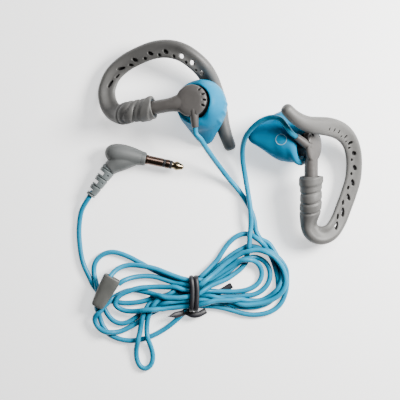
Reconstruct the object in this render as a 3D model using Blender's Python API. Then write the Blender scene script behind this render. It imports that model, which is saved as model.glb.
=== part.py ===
"""Wired sports earphones with two bendable ear hooks, lying on a flat surface.

Sizes in this file are millimetres; new_object turns them into metres. The origin is
on the surface, under the middle of the two earpieces. +X is right, +Y is up the
table away from the coiled cord, +Z is up.

Each earpiece is drawn in its own frame: the origin is the middle of the round cap's
face, +X runs from the ear hook's sleeve towards the cap, +Z comes out of the cap's
face, and the cord leaves on the cord side, -Y on the left and +Y on the right.
"""

import math

import bmesh
import bpy
from mathutils import Matrix, Vector

METRES = 0.001
GAP = 0.3
UP = Vector((0.0, 0.0, 1.0))

# Earpiece
CAP_RADIUS = 6.0
CAP_THICKNESS = 1.6
NOTCH_ANGLES = (-32.0, -9.0, 16.0, 42.0)
STEM_RADIUS = 2.6
STEM_DEPTH = 1.7
STEM_LENGTH = 18.6
NECK_TOP = -CAP_THICKNESS - GAP
BUD_CENTRE_X = 2.0
BUD_RADIUS = 6.6
BUD_SEAM = -10.4
BUD_FRONT = -13.6
DRIVER_TOP = -7.8
BUD_WALL = 0.9
TIP_LIP = -4.9
TIP_CAVITY_RADIUS = BUD_RADIUS + GAP
RIM_DEPTH = 12.0
NOZZLE_DEPTH = 22.8

# Ear hook
SLEEVE_RADIUS = 4.2
SOCKET_RADIUS = 3.6
SOCKET_LENGTH = 9.6
BUSH_LENGTH = 5.0
BAND_WIDTH = 7.1
BAND_THICKNESS = 5.0
WEB_THICKNESS = 2.4
HOOK_TIP_WIDTH = 4.6
WIRE_RADIUS = 0.55
HOOK_SPACING = 2.6
WIRE_START = 5

# Cord and plug
CORD_RADIUS = 1.0
HANK_BASE = 0.3
HANK_LOW = 2.3
HANK_HIGH = 6.5
JACK_RADIUS = 1.75
COLLAR_RADIUS = 1.9
JACK_HEIGHT = 4.7

# Each side: which way the cord leaves, where the cap's face is, the stem's heading and
# rise in degrees, the roll of the cap about the stem, and where the soft tip's rim and
# nozzle lie in the earpiece's frame.
SIDES = {
    "left": {
        "cord_side": -1.0,
        "origin": (-15.2, 14.8, 21.9),
        "heading": 9.0,
        "rise": 15.0,
        "roll": -8.0,
        "rim": (1.0, -0.2),
        "nozzle": (-1.6, -10.0),
        "relief_end": (-0.4, -9.8, -3.3),
    },
    "right": {
        "cord_side": 1.0,
        "origin": (32.0, -2.0, 13.5),
        "heading": 90.0,
        "rise": 6.0,
        "roll": 60.0,
        "rim": (3.6, 0.8),
        "nozzle": (4.4, 8.8),
        "relief_end": (4.0, 8.8, -4.0),
    },
}

# Centrelines of the two hooks past their sleeves, from the U-bend to the free end.
HOOK_ROUTES = {
    "left": (
        (-41.4, 10.3, 10.4),
        (-44.4, 11.4, 8.2),
        (-46.4, 13.8, 6.2),
        (-47.4, 16.8, 5.0),
        (-47.6, 19.6, 4.3),
        (-46.9, 22.5, 4.0),
        (-45.2, 26.0, 4.0),
        (-42.0, 29.2, 4.6),
        (-37.8, 31.8, 6.0),
        (-31.2, 34.4, 8.6),
        (-26.0, 35.2, 10.6),
        (-21.5, 34.7, 12.2),
        (-17.3, 33.0, 13.2),
        (-13.3, 30.2, 12.4),
        (-10.2, 27.2, 10.2),
        (-8.0, 23.8, 7.4),
        (-6.4, 20.0, 5.0),
        (-5.0, 16.0, 3.8),
        (-4.0, 11.5, 3.2),
        (-3.0, 7.0, 2.9),
        (-1.6, 2.5, 2.7),
        (-0.2, -1.2, 2.6),
    ),
    "right": (
        (30.2, -31.6, 8.2),
        (32.0, -35.0, 7.4),
        (35.2, -35.9, 6.5),
        (38.6, -34.4, 5.6),
        (41.4, -30.4, 4.5),
        (43.6, -25.0, 3.9),
        (45.6, -19.6, 3.6),
        (47.1, -14.4, 3.8),
        (47.5, -9.4, 4.6),
        (47.2, -5.2, 5.8),
        (46.2, -1.6, 7.4),
        (44.6, 1.2, 9.2),
        (42.4, 3.2, 11.8),
        (39.6, 4.5, 14.4),
        (36.2, 5.2, 17.2),
        (32.4, 5.4, 20.0),
        (28.8, 5.7, 22.6),
        (25.4, 6.8, 25.0),
        (22.4, 8.6, 27.0),
        (20.2, 10.6, 28.2),
    ),
}
HOOK_NORMALS = {"left": (-0.42, 0.2, 0.88), "right": (-0.58, 0.1, -0.8)}
SLEEVE_MOUTH = {"left": 15.0, "right": 11.4}
SLEEVE_LENGTH = 12.5

# The cord's free stretches.
PLUG_LEAD = (
    (-57.3, -25.5, 2.0),
    (-58.4, -29.5, 1.2),
    (-58.8, -34.0, 1.2),
    (-58.6, -38.5, 1.2),
    (-58.0, -43.5, 1.2),
    (-57.0, -47.5, 1.2),
    (-55.6, -50.6, 1.2),
)
LEFT_LEAD = (
    (-11.6, 0.6, 18.6),
    (-9.6, -2.4, 15.4),
    (-7.2, -5.6, 11.2),
    (-4.4, -9.2, 6.8),
    (-0.4, -14.2, 3.0),
    (3.4, -18.6, 1.5),
    (6.6, -23.2, 1.2),
    (8.6, -27.4, 1.2),
    (9.6, -31.0, 1.2),
    (9.8, -34.0, 1.2),
)
RIGHT_LEAD = (
    (20.2, 5.2, 21.8),
    (18.2, 7.6, 22.3),
    (15.0, 8.4, 22.0),
    (11.4, 7.4, 20.6),
    (8.2, 5.0, 18.0),
    (5.7, 1.8, 14.2),
    (4.6, -2.2, 10.0),
    (4.7, -6.8, 6.6),
    (5.6, -12.2, 4.3),
    (6.7, -18.6, 3.6),
    (7.7, -25.0, 3.6),
    (8.0, -30.0, 3.6),
    (7.9, -33.6, 3.6),
)
LOW_LOOP = (
    (-31.0, -79.2, 1.3),
    (-30.2, -81.4, 1.2),
    (-30.0, -84.4, 1.2),
    (-31.0, -87.0, 1.2),
    (-33.1, -88.1, 1.2),
    (-35.3, -86.8, 1.2),
    (-36.3, -84.0, 1.2),
    (-36.4, -81.2, 1.2),
    (-36.1, -79.2, 1.3),
)
HANK_OUTLINE = (
    (-18.0, -52.2),
    (-10.0, -49.0),
    (-3.0, -42.0),
    (2.5, -37.0),
    (8.0, -35.2),
    (13.5, -38.6),
    (18.5, -44.0),
    (22.0, -49.5),
    (23.0, -54.5),
    (22.0, -58.5),
    (18.5, -63.0),
    (12.5, -66.6),
    (6.0, -67.8),
    (-1.0, -67.0),
    (-7.0, -65.4),
    (-12.0, -64.8),
    (-18.0, -65.2),
    (-22.0, -69.6),
    (-28.0, -74.6),
    (-36.5, -77.6),
    (-45.0, -76.6),
    (-51.5, -73.6),
    (-54.2, -69.5),
    (-54.0, -62.0),
    (-54.0, -57.0),
    (-53.0, -50.4),
    (-50.4, -45.4),
    (-46.0, -43.2),
    (-40.5, -44.0),
    (-34.0, -47.6),
    (-26.0, -50.2),
)
SPLIT_TOP = (-45.4, -52.2, 5.6)
SPLIT_BOTTOM = (-51.6, -63.6, 4.4)
WAIST = (-14.5, -58.5)
WAIST_HALF_WIDTH = 6.2
SPLIT_ROOM = 4.4
TIE_WIDTH = 3.0
TIE_THICKNESS = 0.7

COLOURS = {
    "hook_rubber": ((0.33, 0.33, 0.33), 0.62, 0.0),
    "housing_grey": ((0.26, 0.25, 0.25), 0.5, 0.0),
    "tip_silicone": ((0.03, 0.42, 0.72), 0.35, 0.0),
    "cord_blue": ((0.12, 0.52, 0.72), 0.45, 0.0),
    "plug_grey": ((0.30, 0.32, 0.32), 0.55, 0.0),
    "contact_metal": ((0.42, 0.33, 0.27), 0.25, 1.0),
    "black_plastic": ((0.02, 0.02, 0.025), 0.5, 0.0),
    "tie_black": ((0.02, 0.02, 0.025), 0.4, 0.0),
    "steel": ((0.55, 0.55, 0.56), 0.35, 1.0),
    "magnet": ((0.35, 0.35, 0.37), 0.3, 1.0),
    "copper": ((0.75, 0.35, 0.18), 0.3, 1.0),
    "film": ((0.75, 0.75, 0.7), 0.3, 0.0),
    "board_green": ((0.03, 0.25, 0.10), 0.5, 0.0),
    "foam": ((0.05, 0.05, 0.05), 0.9, 0.0),
}


# ---- Mesh helpers


def clear_scene():
    for item in list(bpy.data.objects):
        bpy.data.objects.remove(item, do_unlink=True)


def material(name):
    """The named material, made once from the colour table."""
    if name in bpy.data.materials:
        return bpy.data.materials[name]
    colour, roughness, metallic = COLOURS[name]
    made = bpy.data.materials.new(name)
    made.use_nodes = True
    shader = made.node_tree.nodes["Principled BSDF"]
    shader.inputs["Base Color"].default_value = (*colour, 1.0)
    shader.inputs["Roughness"].default_value = roughness
    shader.inputs["Metallic"].default_value = metallic
    return made


def new_object(name, mesh_data, finish, frame=None, pivot=(0.0, 0.0, 0.0)):
    """An object from (points, faces) in a frame's millimetres, with its origin at pivot."""
    points, faces = mesh_data
    pivot = Vector(pivot)
    mesh = bpy.data.meshes.new(name)
    mesh.from_pydata([(Vector(p) - pivot) * METRES for p in points], [], faces)
    work = bmesh.new()
    work.from_mesh(mesh)
    bmesh.ops.recalc_face_normals(work, faces=work.faces)
    work.to_mesh(mesh)
    work.free()
    mesh.shade_smooth()
    mesh.set_sharp_from_angle(angle=math.radians(40))
    made = bpy.data.objects.new(name, mesh)
    bpy.context.scene.collection.objects.link(made)
    made.location = pivot * METRES
    if frame is not None:
        made.parent = frame
    if finish:
        mesh.materials.append(material(finish))
    return made


def cutter(name, mesh_data, frame=None):
    made = new_object(name, mesh_data, None, frame)
    made.hide_render = True
    made.display_type = "WIRE"
    return made


def boolean(target, tool, operation="DIFFERENCE"):
    change = target.modifiers.new(operation.title(), "BOOLEAN")
    change.operation = operation
    change.solver = "EXACT"
    change.object = tool


def join_data(*parts):
    """Several (points, faces) shapes as one."""
    points, faces = [], []
    for part_points, part_faces in parts:
        start = len(points)
        points.extend(part_points)
        faces.extend([[start + index for index in face] for face in part_faces])
    return points, faces


def loft(rings):
    """A closed solid through rings of equally many points, fanned shut at both ends."""
    count = len(rings[0])
    points = [p for ring in rings for p in ring]
    faces = []
    for row in range(len(rings) - 1):
        for i in range(count):
            j = (i + 1) % count
            base = row * count
            faces.append([base + i, base + j, base + count + j, base + count + i])
    for ring, base in ((rings[0], 0), (rings[-1], (len(rings) - 1) * count)):
        points.append(sum((Vector(p) for p in ring), Vector()) / count)
        hub = len(points) - 1
        for i in range(count):
            faces.append([base + i, base + (i + 1) % count, hub])
    return points, faces


def ring_loft(rings):
    """A closed loop of rings, as a washer or a bent band is: the last joins the first."""
    count = len(rings[0])
    points = [p for ring in rings for p in ring]
    faces = []
    for row in range(len(rings)):
        after = (row + 1) % len(rings)
        for i in range(count):
            j = (i + 1) % count
            faces.append([row * count + i, row * count + j, after * count + j, after * count + i])
    return points, faces


def circle(centre, radius, axis_x, axis_y, count, radius_y=None):
    centre = Vector(centre)
    second = radius if radius_y is None else radius_y
    ring = []
    for i in range(count):
        angle = 2.0 * math.pi * i / count
        ring.append(centre + axis_x * radius * math.cos(angle) + axis_y * second * math.sin(angle))
    return ring


def flat_circle(centre, radius, count=24):
    """A circle in a plane of constant Z."""
    return circle(centre, radius, Vector((1, 0, 0)), Vector((0, 1, 0)), count)


def turned(profile, centre=(0.0, 0.0), count=24):
    """A solid of revolution about Z from (radius, z) pairs between its two ends."""
    return loft([flat_circle((centre[0], centre[1], z), r, count) for r, z in profile])


def turned_ring(profile, centre=(0.0, 0.0), count=24):
    """A washer of revolution about Z from a closed (radius, z) outline."""
    return ring_loft([flat_circle((centre[0], centre[1], z), r, count) for r, z in profile])


def box_data(low, high):
    (x0, y0, z0), (x1, y1, z1) = low, high
    points = [(x, y, z) for z in (z0, z1) for x, y in ((x0, y0), (x1, y0), (x1, y1), (x0, y1))]
    faces = [[3, 2, 1, 0], [4, 5, 6, 7]]
    faces += [[i, (i + 1) % 4, 4 + (i + 1) % 4, 4 + i] for i in range(4)]
    return points, faces


def smooth_route(points, spacing):
    """Points about spacing apart on the smooth curve through hand-placed points."""
    knots = [Vector(p) for p in points]
    knots = [2 * knots[0] - knots[1]] + knots + [2 * knots[-1] - knots[-2]]
    fine = []
    for a, b, c, d in zip(knots, knots[1:], knots[2:], knots[3:]):
        for step in range(24):
            t = step / 24.0
            fine.append(
                0.5
                * (
                    2 * b
                    + (c - a) * t
                    + (2 * a - 5 * b + 4 * c - d) * t * t
                    + (3 * b - a - 3 * c + d) * t**3
                )
            )
    fine.append(knots[-2])
    lengths = [0.0]
    for a, b in zip(fine, fine[1:]):
        lengths.append(lengths[-1] + (b - a).length)
    count = max(2, round(lengths[-1] / spacing))
    route = []
    at = 0
    for i in range(count + 1):
        target = lengths[-1] * i / count
        while at < len(lengths) - 2 and lengths[at + 1] < target:
            at += 1
        span = lengths[at + 1] - lengths[at]
        share = (target - lengths[at]) / span if span else 0.0
        route.append(fine[at].lerp(fine[at + 1], min(1.0, max(0.0, share))))
    return route


def tangents(route):
    ends = [route[0]] + list(route) + [route[-1]]
    return [(c - a).normalized() for a, c in zip(ends, ends[2:])]


def tube_data(route, radius, count=8, side=UP):
    """A round tube along a route; radius is a number or a function of the share along it."""
    rings = []
    for i, (point, along) in enumerate(zip(route, tangents(route))):
        across = along.cross(side).normalized()
        other = across.cross(along)
        size = radius(i / (len(route) - 1)) if callable(radius) else radius
        rings.append(circle(point, size, across, other, count))
    return loft(rings)


def frame_along(name, origin, along, side=UP):
    """An empty whose Z axis runs along a direction."""
    z_axis = Vector(along).normalized()
    x_axis = Vector(side).cross(z_axis).normalized()
    y_axis = z_axis.cross(x_axis)
    matrix = Matrix((x_axis, y_axis, z_axis)).transposed().to_4x4()
    matrix.translation = Vector(origin) * METRES
    empty = bpy.data.objects.new(name, None)
    bpy.context.scene.collection.objects.link(empty)
    empty.matrix_world = matrix
    return empty


# ---- Earpiece


def earpiece_axes(side):
    """The earpiece frame's X, Y and Z axes in the world."""
    heading, rise, roll = (math.radians(side[key]) for key in ("heading", "rise", "roll"))
    x_axis = Vector(
        (
            math.cos(rise) * math.cos(heading),
            math.cos(rise) * math.sin(heading),
            math.sin(rise),
        )
    )
    level = UP.cross(x_axis).normalized()
    y_axis = Matrix.Rotation(roll, 3, x_axis) @ level
    return x_axis, y_axis, x_axis.cross(y_axis)


def earpiece_frame(name, side):
    x_axis, y_axis, z_axis = earpiece_axes(side)
    matrix = Matrix((x_axis, y_axis, z_axis)).transposed().to_4x4()
    matrix.translation = Vector(side["origin"]) * METRES
    empty = bpy.data.objects.new(name, None)
    bpy.context.scene.collection.objects.link(empty)
    empty.matrix_world = matrix
    return empty


def to_world(side, point):
    x_axis, y_axis, z_axis = earpiece_axes(side)
    return Vector(side["origin"]) + x_axis * point[0] + y_axis * point[1] + z_axis * point[2]


def stem_rings(extra, length):
    """The stem's sections, flared where it runs into the cap."""
    sections = (
        (-0.5, 4.4, 1.2, -1.3),
        (-3.4, 4.0, 1.8, -1.4),
        (-5.4, 3.3, 2.2, -1.55),
        (-7.4, 2.8, 2.5, -STEM_DEPTH),
        (-9.4, STEM_RADIUS, STEM_RADIUS, -STEM_DEPTH),
        (-length, STEM_RADIUS, STEM_RADIUS, -STEM_DEPTH),
    )
    across, deep = Vector((0, 1, 0)), Vector((0, 0, 1))
    return [
        circle((x, 0, z), wide + extra, across, deep, 16, thick + extra)
        for x, wide, thick, z in sections
    ]


def relief_route(side):
    start = Vector((0.4, 4.0 * side["cord_side"], -1.3))
    end = Vector(side["relief_end"])
    return [start.lerp(end, i / 5.0) for i in range(6)]


def make_cap_arm(name, frame, side):
    """The round cap and its stem, one moulding, with a wire bore up the stem."""
    profile = (
        (CAP_RADIUS - 1.6, 0.35),
        (CAP_RADIUS - 0.5, 0.12),
        (CAP_RADIUS, -0.4),
        (CAP_RADIUS, -CAP_THICKNESS),
    )
    cap = new_object(name + "_cap_arm", turned(profile, count=32), "housing_grey", frame)
    boolean(cap, cutter(name + "_stem", loft(stem_rings(0.0, STEM_LENGTH)), frame), "UNION")
    bore = [(-STEM_LENGTH - 1.0, 0, -STEM_DEPTH), (-6.0, 0, -STEM_DEPTH)]
    boolean(cap, cutter(name + "_stem_bore", tube_data([Vector(p) for p in bore], 1.2), frame))
    notches = []
    for angle in NOTCH_ANGLES:
        low, high = (CAP_RADIUS - 1.3, -0.32, -0.9), (CAP_RADIUS + 1.0, 0.32, 1.0)
        points, faces = box_data(low, high)
        turn = Matrix.Rotation(math.radians(-angle * side["cord_side"]), 3, "Z")
        notches.append(([turn @ Vector(p) for p in points], faces))
    boolean(cap, cutter(name + "_notches", join_data(*notches), frame))
    boolean(cap, relief_room(name + "_cap_relief_room", frame, side))


def relief_room(name, frame, side):
    """The clearance round the strain relief."""
    start, *_, end = relief_route(side)
    back = start - (end - start).normalized() * GAP
    return cutter(name, tube_data([back, end], 1.7 + GAP, 12), frame)


def make_strain_relief(name, frame, side):
    route = relief_route(side)
    data = tube_data(route, lambda share: 1.7 - 0.45 * share, 12)
    new_object(name + "_strain_relief", data, "housing_grey", frame)


def make_housing(name, frame, side):
    """The neck behind the cap and the round back of the bud, open towards the ear."""
    outside = (
        (0.0, 5.0, NECK_TOP),
        (0.5, 4.7, -3.4),
        (1.2, 5.0, -4.8),
        (1.8, 5.7, -6.2),
        (BUD_CENTRE_X, BUD_RADIUS, -7.4),
        (BUD_CENTRE_X, BUD_RADIUS, BUD_SEAM),
    )
    inside = (
        (0.9, 3.2, -4.6),
        (1.6, 4.2, -6.2),
        (BUD_CENTRE_X, BUD_RADIUS - BUD_WALL, -7.6),
        (BUD_CENTRE_X, BUD_RADIUS - BUD_WALL, BUD_SEAM - 1.0),
    )
    body = loft([flat_circle((x, 0, z), r) for x, r, z in outside])
    room = loft([flat_circle((x, 0, z), r) for x, r, z in inside])
    housing = new_object(name + "_housing", body, "housing_grey", frame)
    boolean(housing, cutter(name + "_back_chamber", room, frame))
    boolean(housing, cutter(name + "_stem_room", loft(stem_rings(GAP, STEM_LENGTH)), frame))
    boolean(housing, relief_room(name + "_housing_relief_room", frame, side))


def make_bud_front(name, frame):
    """The bud's front cover with its ring of sound holes."""
    centre = (BUD_CENTRE_X, 0.0)
    top = BUD_SEAM - GAP
    outer = (
        (BUD_RADIUS, top),
        (BUD_RADIUS, -11.8),
        (BUD_RADIUS - 1.4, -13.2),
        (BUD_RADIUS - 2.8, BUD_FRONT),
    )
    inner_radius = BUD_RADIUS - BUD_WALL
    inner = ((inner_radius, top + 1.0), (inner_radius, -11.7), (BUD_RADIUS - 2.4, -12.8))
    front = new_object(name + "_bud_front", turned(outer, centre), "housing_grey", frame)
    boolean(front, cutter(name + "_front_chamber", turned(inner, centre), frame))
    holes = []
    for i in range(6):
        angle = math.radians(60.0 * i)
        spot = (BUD_CENTRE_X + 2.4 * math.cos(angle), 2.4 * math.sin(angle))
        holes.append(turned(((0.6, -16.0), (0.6, -12.0)), spot, 8))
    boolean(front, cutter(name + "_sound_holes", join_data(*holes), frame))


def make_driver(name, frame):
    """The moving-coil driver inside the bud, its damping cloth and its solder board."""
    centre = (BUD_CENTRE_X, 0.0)
    rings = {
        "driver_frame": (((4.3, 0.0), (5.3, 0.0), (5.3, -3.8), (4.3, -3.8)), "black_plastic"),
        "voice_coil": (((2.55, -2.4), (2.85, -2.4), (2.85, -3.5), (2.55, -3.5)), "copper"),
        "solder_board": (((1.6, 0.9), (3.6, 0.9), (3.6, 0.4), (1.6, 0.4)), "board_green"),
        "magnet_cup": (
            ((0.6, 0.1), (3.9, 0.1), (3.9, -2.8), (3.2, -2.8), (3.2, -0.4), (0.6, -0.4)),
            "steel",
        ),
        "diaphragm": (
            (
                (0.4, -3.85),
                (2.2, -3.82),
                (3.0, -4.12),
                (5.2, -4.12),
                (5.2, -4.24),
                (3.0, -4.24),
                (2.2, -3.96),
                (0.4, -4.0),
            ),
            "film",
        ),
    }
    discs = {
        "magnet": (((2.0, -0.7), (2.0, -1.9)), "magnet"),
        "pole_plate": (((2.2, -2.2), (2.2, -2.9)), "steel"),
        "damping_cloth": (((3.6, -4.6), (3.6, -4.8)), "foam"),
    }
    for part, (outline, finish) in rings.items():
        placed = [(r, DRIVER_TOP + z) for r, z in outline]
        new_object(f"{name}_{part}", turned_ring(placed, centre, 20), finish, frame)
    for part, (outline, finish) in discs.items():
        placed = [(r, DRIVER_TOP + z) for r, z in outline]
        new_object(f"{name}_{part}", turned(placed, centre, 16), finish, frame)


def tip_centre(side, depth):
    """The soft tip's middle at a depth below the cap's face."""
    share = min(1.0, max(0.0, (depth - RIM_DEPTH) / (NOZZLE_DEPTH - RIM_DEPTH)))
    share = share * share * (3.0 - 2.0 * share)
    start = Vector((BUD_CENTRE_X, 0.0))
    rim, nozzle = Vector(side["rim"]), Vector(side["nozzle"])
    lift = min(1.0, max(0.0, (depth + TIP_LIP) / (RIM_DEPTH + TIP_LIP)))
    return start.lerp(rim, lift).lerp(nozzle, share)


def tip_rings(side, sections, count=24):
    rings = []
    for depth, radius in sections:
        x, y = tip_centre(side, depth)
        rings.append(flat_circle((x, y, -depth), radius, count))
    return rings


def make_ear_tip(name, frame, side):
    """The soft tip: a round cup over the bud that narrows to an offset nozzle."""
    outside = (
        (-TIP_LIP, 7.5),
        (5.3, 8.0),
        (7.0, 8.7),
        (9.5, 9.4),
        (RIM_DEPTH, 9.7),
        (13.8, 9.3),
        (15.4, 8.4),
        (17.0, 7.1),
        (18.8, 5.6),
        (20.6, 4.3),
        (22.0, 3.5),
        (NOZZLE_DEPTH, 3.0),
    )
    bore = (
        (13.6, 4.6),
        (15.4, 5.0),
        (17.0, 4.7),
        (18.8, 4.0),
        (20.6, 3.0),
        (22.0, 2.2),
        (NOZZLE_DEPTH + 1.0, 1.9),
    )
    pocket = (
        (6.3, -3.0),
        (6.3, -6.3),
        (TIP_CAVITY_RADIUS, -6.9),
        (TIP_CAVITY_RADIUS, -12.0),
        (5.2, -13.9),
    )
    pocket_data = turned(pocket, (BUD_CENTRE_X, 0.0))
    pivot = (BUD_CENTRE_X, 0.0, -RIM_DEPTH)
    body = loft(tip_rings(side, outside, 28))
    tip = new_object(name + "_ear_tip", body, "tip_silicone", frame, pivot)
    boolean(tip, cutter(name + "_bud_pocket", pocket_data, frame))
    boolean(tip, cutter(name + "_nozzle_bore", loft(tip_rings(side, bore, 20)), frame))


# ---- Ear hook


def hook_section(middle, along, normal, width, thickness, web, roundness):
    """One section: a thick rounded outer rim that thins to the web on the loop's inside.

    Along the loop, the outer rim is on the left of the way seen from the normal's end.
    """
    side = normal.cross(along).normalized()
    up = along.cross(side).normalized()
    half, thick, thin = width / 2.0, thickness / 2.0, web / 2.0
    outline = (
        (-half, 0.0),
        (-half * 0.87, thick * 0.6),
        (-half * 0.5, thick),
        (0.0, thick * 0.55 + thin * 0.45),
        (half * 0.5, thin),
        (half * 0.87, thin * 0.8),
        (half, 0.0),
    )
    upper, lower = [], []
    for i, (x, y) in enumerate(outline):
        angle = math.pi * i / (len(outline) - 1)
        x += (-half * math.cos(angle) - x) * roundness
        y += (half * math.sin(angle) - y) * roundness
        upper.append(middle - side * x + up * y)
        lower.append(middle - side * x - up * y)
    return upper + lower[-2:0:-1]


def hook_route(name, side):
    """Points of the hook's centreline from the sleeve's mouth to its free end."""
    mouth = SLEEVE_MOUTH[name]
    straight = [to_world(side, (-mouth - d, 0, -STEM_DEPTH)) for d in (0.0, 3.5, 7.0, 10.0)]
    return smooth_route(straight + [Vector(p) for p in HOOK_ROUTES[name]], HOOK_SPACING)


def make_ear_hook(name, side, frame):
    """The bendable hook with the socket that its bush and the stem sit in."""
    route = hook_route(name, side)
    along = tangents(route)
    normal = Vector(HOOK_NORMALS[name])
    total = len(route) - 1
    rings = []
    run = 0.0
    for i, point in enumerate(route):
        if i:
            run += (point - route[i - 1]).length
        past = min(1.0, max(0.0, (run - SLEEVE_LENGTH + 2.0) / 9.0))
        tail = min(1.0, max(0.0, (i / total - 0.66) / 0.16))
        close = min(1.0, max(0.0, (i / total - 0.80) / 0.20))
        sleeve = 2 * SLEEVE_RADIUS
        width = sleeve + (BAND_WIDTH - sleeve) * past
        width += (HOOK_TIP_WIDTH - width) * close
        thickness = sleeve + (BAND_THICKNESS - sleeve) * past
        web = sleeve + (WEB_THICKNESS - sleeve) * past
        web += (BAND_THICKNESS - web) * tail
        roundness = max(1.0 - past, 0.8 * close)
        rings.append(hook_section(point, along[i], normal, width, thickness, web, roundness))
    end, out = route[-1], along[-1]
    for reach, scale in ((1.2, 0.82), (1.9, 0.45)):
        rings.append([end + out * reach + (p - end) * scale for p in rings[total]])
    pivot = to_world(side, (-SLEEVE_MOUTH[name], 0, -STEM_DEPTH))
    hook = new_object(name + "_ear_hook", loft(rings), "hook_rubber", None, pivot)
    socket = [
        (-SLEEVE_MOUTH[name] + 1.0, 0, -STEM_DEPTH),
        (-SLEEVE_MOUTH[name] - SOCKET_LENGTH, 0, -STEM_DEPTH),
    ]
    socket_data = tube_data([Vector(p) for p in socket], SOCKET_RADIUS, 20)
    boolean(hook, cutter(name + "_socket", socket_data, frame))
    first, last = WIRE_START, round(total * 0.66)
    channel = tube_data(route[first - 2 : last + 1], WIRE_RADIUS + GAP, 6)
    boolean(hook, cutter(name + "_wire_channel", channel))
    wire = tube_data(route[first:last], WIRE_RADIUS, 6)
    new_object(name + "_hook_wire", wire, "steel", None, pivot)


def make_bush(name, frame):
    """The liner that slides on the stem and turns inside the hook's sleeve."""
    mouth = SLEEVE_MOUTH[name]
    rings = []
    for x, radius in (
        (-mouth - 0.3, SOCKET_RADIUS - GAP),
        (-mouth - 0.3 - BUSH_LENGTH, SOCKET_RADIUS - GAP),
        (-mouth - 0.3 - BUSH_LENGTH, STEM_RADIUS + GAP),
        (-mouth - 0.3, STEM_RADIUS + GAP),
    ):
        rings.append(circle((x, 0, -STEM_DEPTH), radius, Vector((0, 1, 0)), UP, 24))
    pivot = (-mouth, 0, -STEM_DEPTH)
    new_object(name + "_hook_bush", ring_loft(rings), "black_plastic", frame, pivot)


def make_earpiece(name):
    side = SIDES[name]
    frame = earpiece_frame(name + "_earpiece", side)
    make_cap_arm(name, frame, side)
    make_housing(name, frame, side)
    make_strain_relief(name, frame, side)
    make_bud_front(name, frame)
    make_driver(name, frame)
    make_ear_tip(name, frame, side)
    make_bush(name, frame)
    make_ear_hook(name, side, frame)


# ---- Plug


def make_plug():
    """The angled plug body, its contacts in line, and its segmented strain relief."""
    face = Vector((-32.5, -6.6, JACK_HEIGHT))
    along = Vector((14.5, -3.1, 0.0)).normalized()
    bend = (
        (face, 2.6),
        (face - along * 2.0, 2.9),
        (face - along * 4.6, 3.7),
        (face - along * 7.6, 4.3),
        (face - along * 10.4 + Vector((0.0, -0.7, 0.0)), 4.3),
        (Vector((-44.9, -7.3, JACK_HEIGHT)), 4.1),
        (Vector((-46.4, -9.6, 4.4)), 3.5),
    )
    route = [p for p, _ in bend]
    ways = tangents(route)
    ways[0] = -along
    rings = []
    for (point, radius), way in zip(bend, ways):
        across = way.cross(UP).normalized()
        rings.append(circle(point, radius, across, across.cross(way), 20))
    body = new_object("plug_body", loft(rings), "plug_grey")
    bore = tube_data([face + along, face - along * 4.0], 1.1, 12)
    boolean(body, cutter("plug_bore", bore))
    recess = tube_data([face + along, face - along * 0.5], COLLAR_RADIUS + GAP, 20)
    boolean(body, cutter("plug_recess", recess))
    frame = frame_along("jack_axis", face, along)
    core = 0.95
    contacts = {
        "jack_sleeve": (
            (
                (core, -0.2),
                (COLLAR_RADIUS, -0.2),
                (COLLAR_RADIUS, 0.9),
                (JACK_RADIUS, 0.9),
                (JACK_RADIUS, 6.6),
                (core, 6.6),
            ),
            "contact_metal",
        ),
        "jack_insulator_sleeve": (
            ((core, 6.9), (1.6, 6.9), (1.6, 7.4), (core, 7.4)),
            "black_plastic",
        ),
        "jack_ring": (
            ((core, 7.7), (JACK_RADIUS, 7.7), (JACK_RADIUS, 9.2), (core, 9.2)),
            "contact_metal",
        ),
        "jack_insulator_ring": (
            ((core, 9.5), (1.6, 9.5), (1.6, 10.0), (core, 10.0)),
            "black_plastic",
        ),
        "jack_tip": (
            (
                (core, 10.3),
                (1.3, 10.3),
                (1.3, 10.9),
                (JACK_RADIUS, 11.9),
                (JACK_RADIUS, 12.4),
                (0.9, 14.6),
                (0.75, 14.6),
                (0.75, 12.0),
                (core, 12.0),
            ),
            "contact_metal",
        ),
    }
    for part, (outline, finish) in contacts.items():
        new_object(part, turned_ring(outline, count=20), finish, frame)
    pin = turned(((0.6, -3.0), (0.6, 11.8), (0.45, 14.8)), count=10)
    new_object("jack_pin", pin, "contact_metal", frame)
    return make_plug_relief()


def make_plug_relief():
    """The segmented strain relief behind the plug; returns where the cord leaves it."""
    start, end = Vector((-46.75, -10.15, 4.3)), Vector((-54.2, -20.6, 3.2))
    way = (end - start).normalized()
    length = (end - start).length
    blocks = 5
    profile = []
    for i in range(blocks):
        radius = 3.2 - 0.22 * i
        low, high = length * i / blocks, length * (i + 0.72) / blocks
        profile += [(radius, low), (radius, high)]
        if i < blocks - 1:
            neck = radius - 0.8
            profile += [(neck, high + 0.05), (neck, length * (i + 1) / blocks - 0.05)]
    frame = frame_along("plug_relief_axis", start, way)
    new_object("plug_strain_relief", turned(profile, count=16), "plug_grey", frame)
    return end + way * 1.5 * GAP


# ---- Cords, hank, split and tie


def make_cord(name, points, spacing=5.0):
    """A free stretch of cord as a bevelled curve."""
    route = smooth_route(points, spacing)
    curve = bpy.data.curves.new(name, "CURVE")
    curve.dimensions = "3D"
    curve.bevel_depth = CORD_RADIUS * METRES
    curve.bevel_resolution = 2
    curve.use_fill_caps = True
    spline = curve.splines.new("POLY")
    spline.points.add(len(route) - 1)
    for target, point in zip(spline.points, route):
        target.co = (*(point * METRES), 1.0)
    curve.materials.append(material("cord_blue"))
    made = bpy.data.objects.new(name, curve)
    bpy.context.scene.collection.objects.link(made)


def prism(outline, low, high):
    return loft([[Vector((x, y, z)) for x, y in outline] for z in (low, high)])


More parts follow.
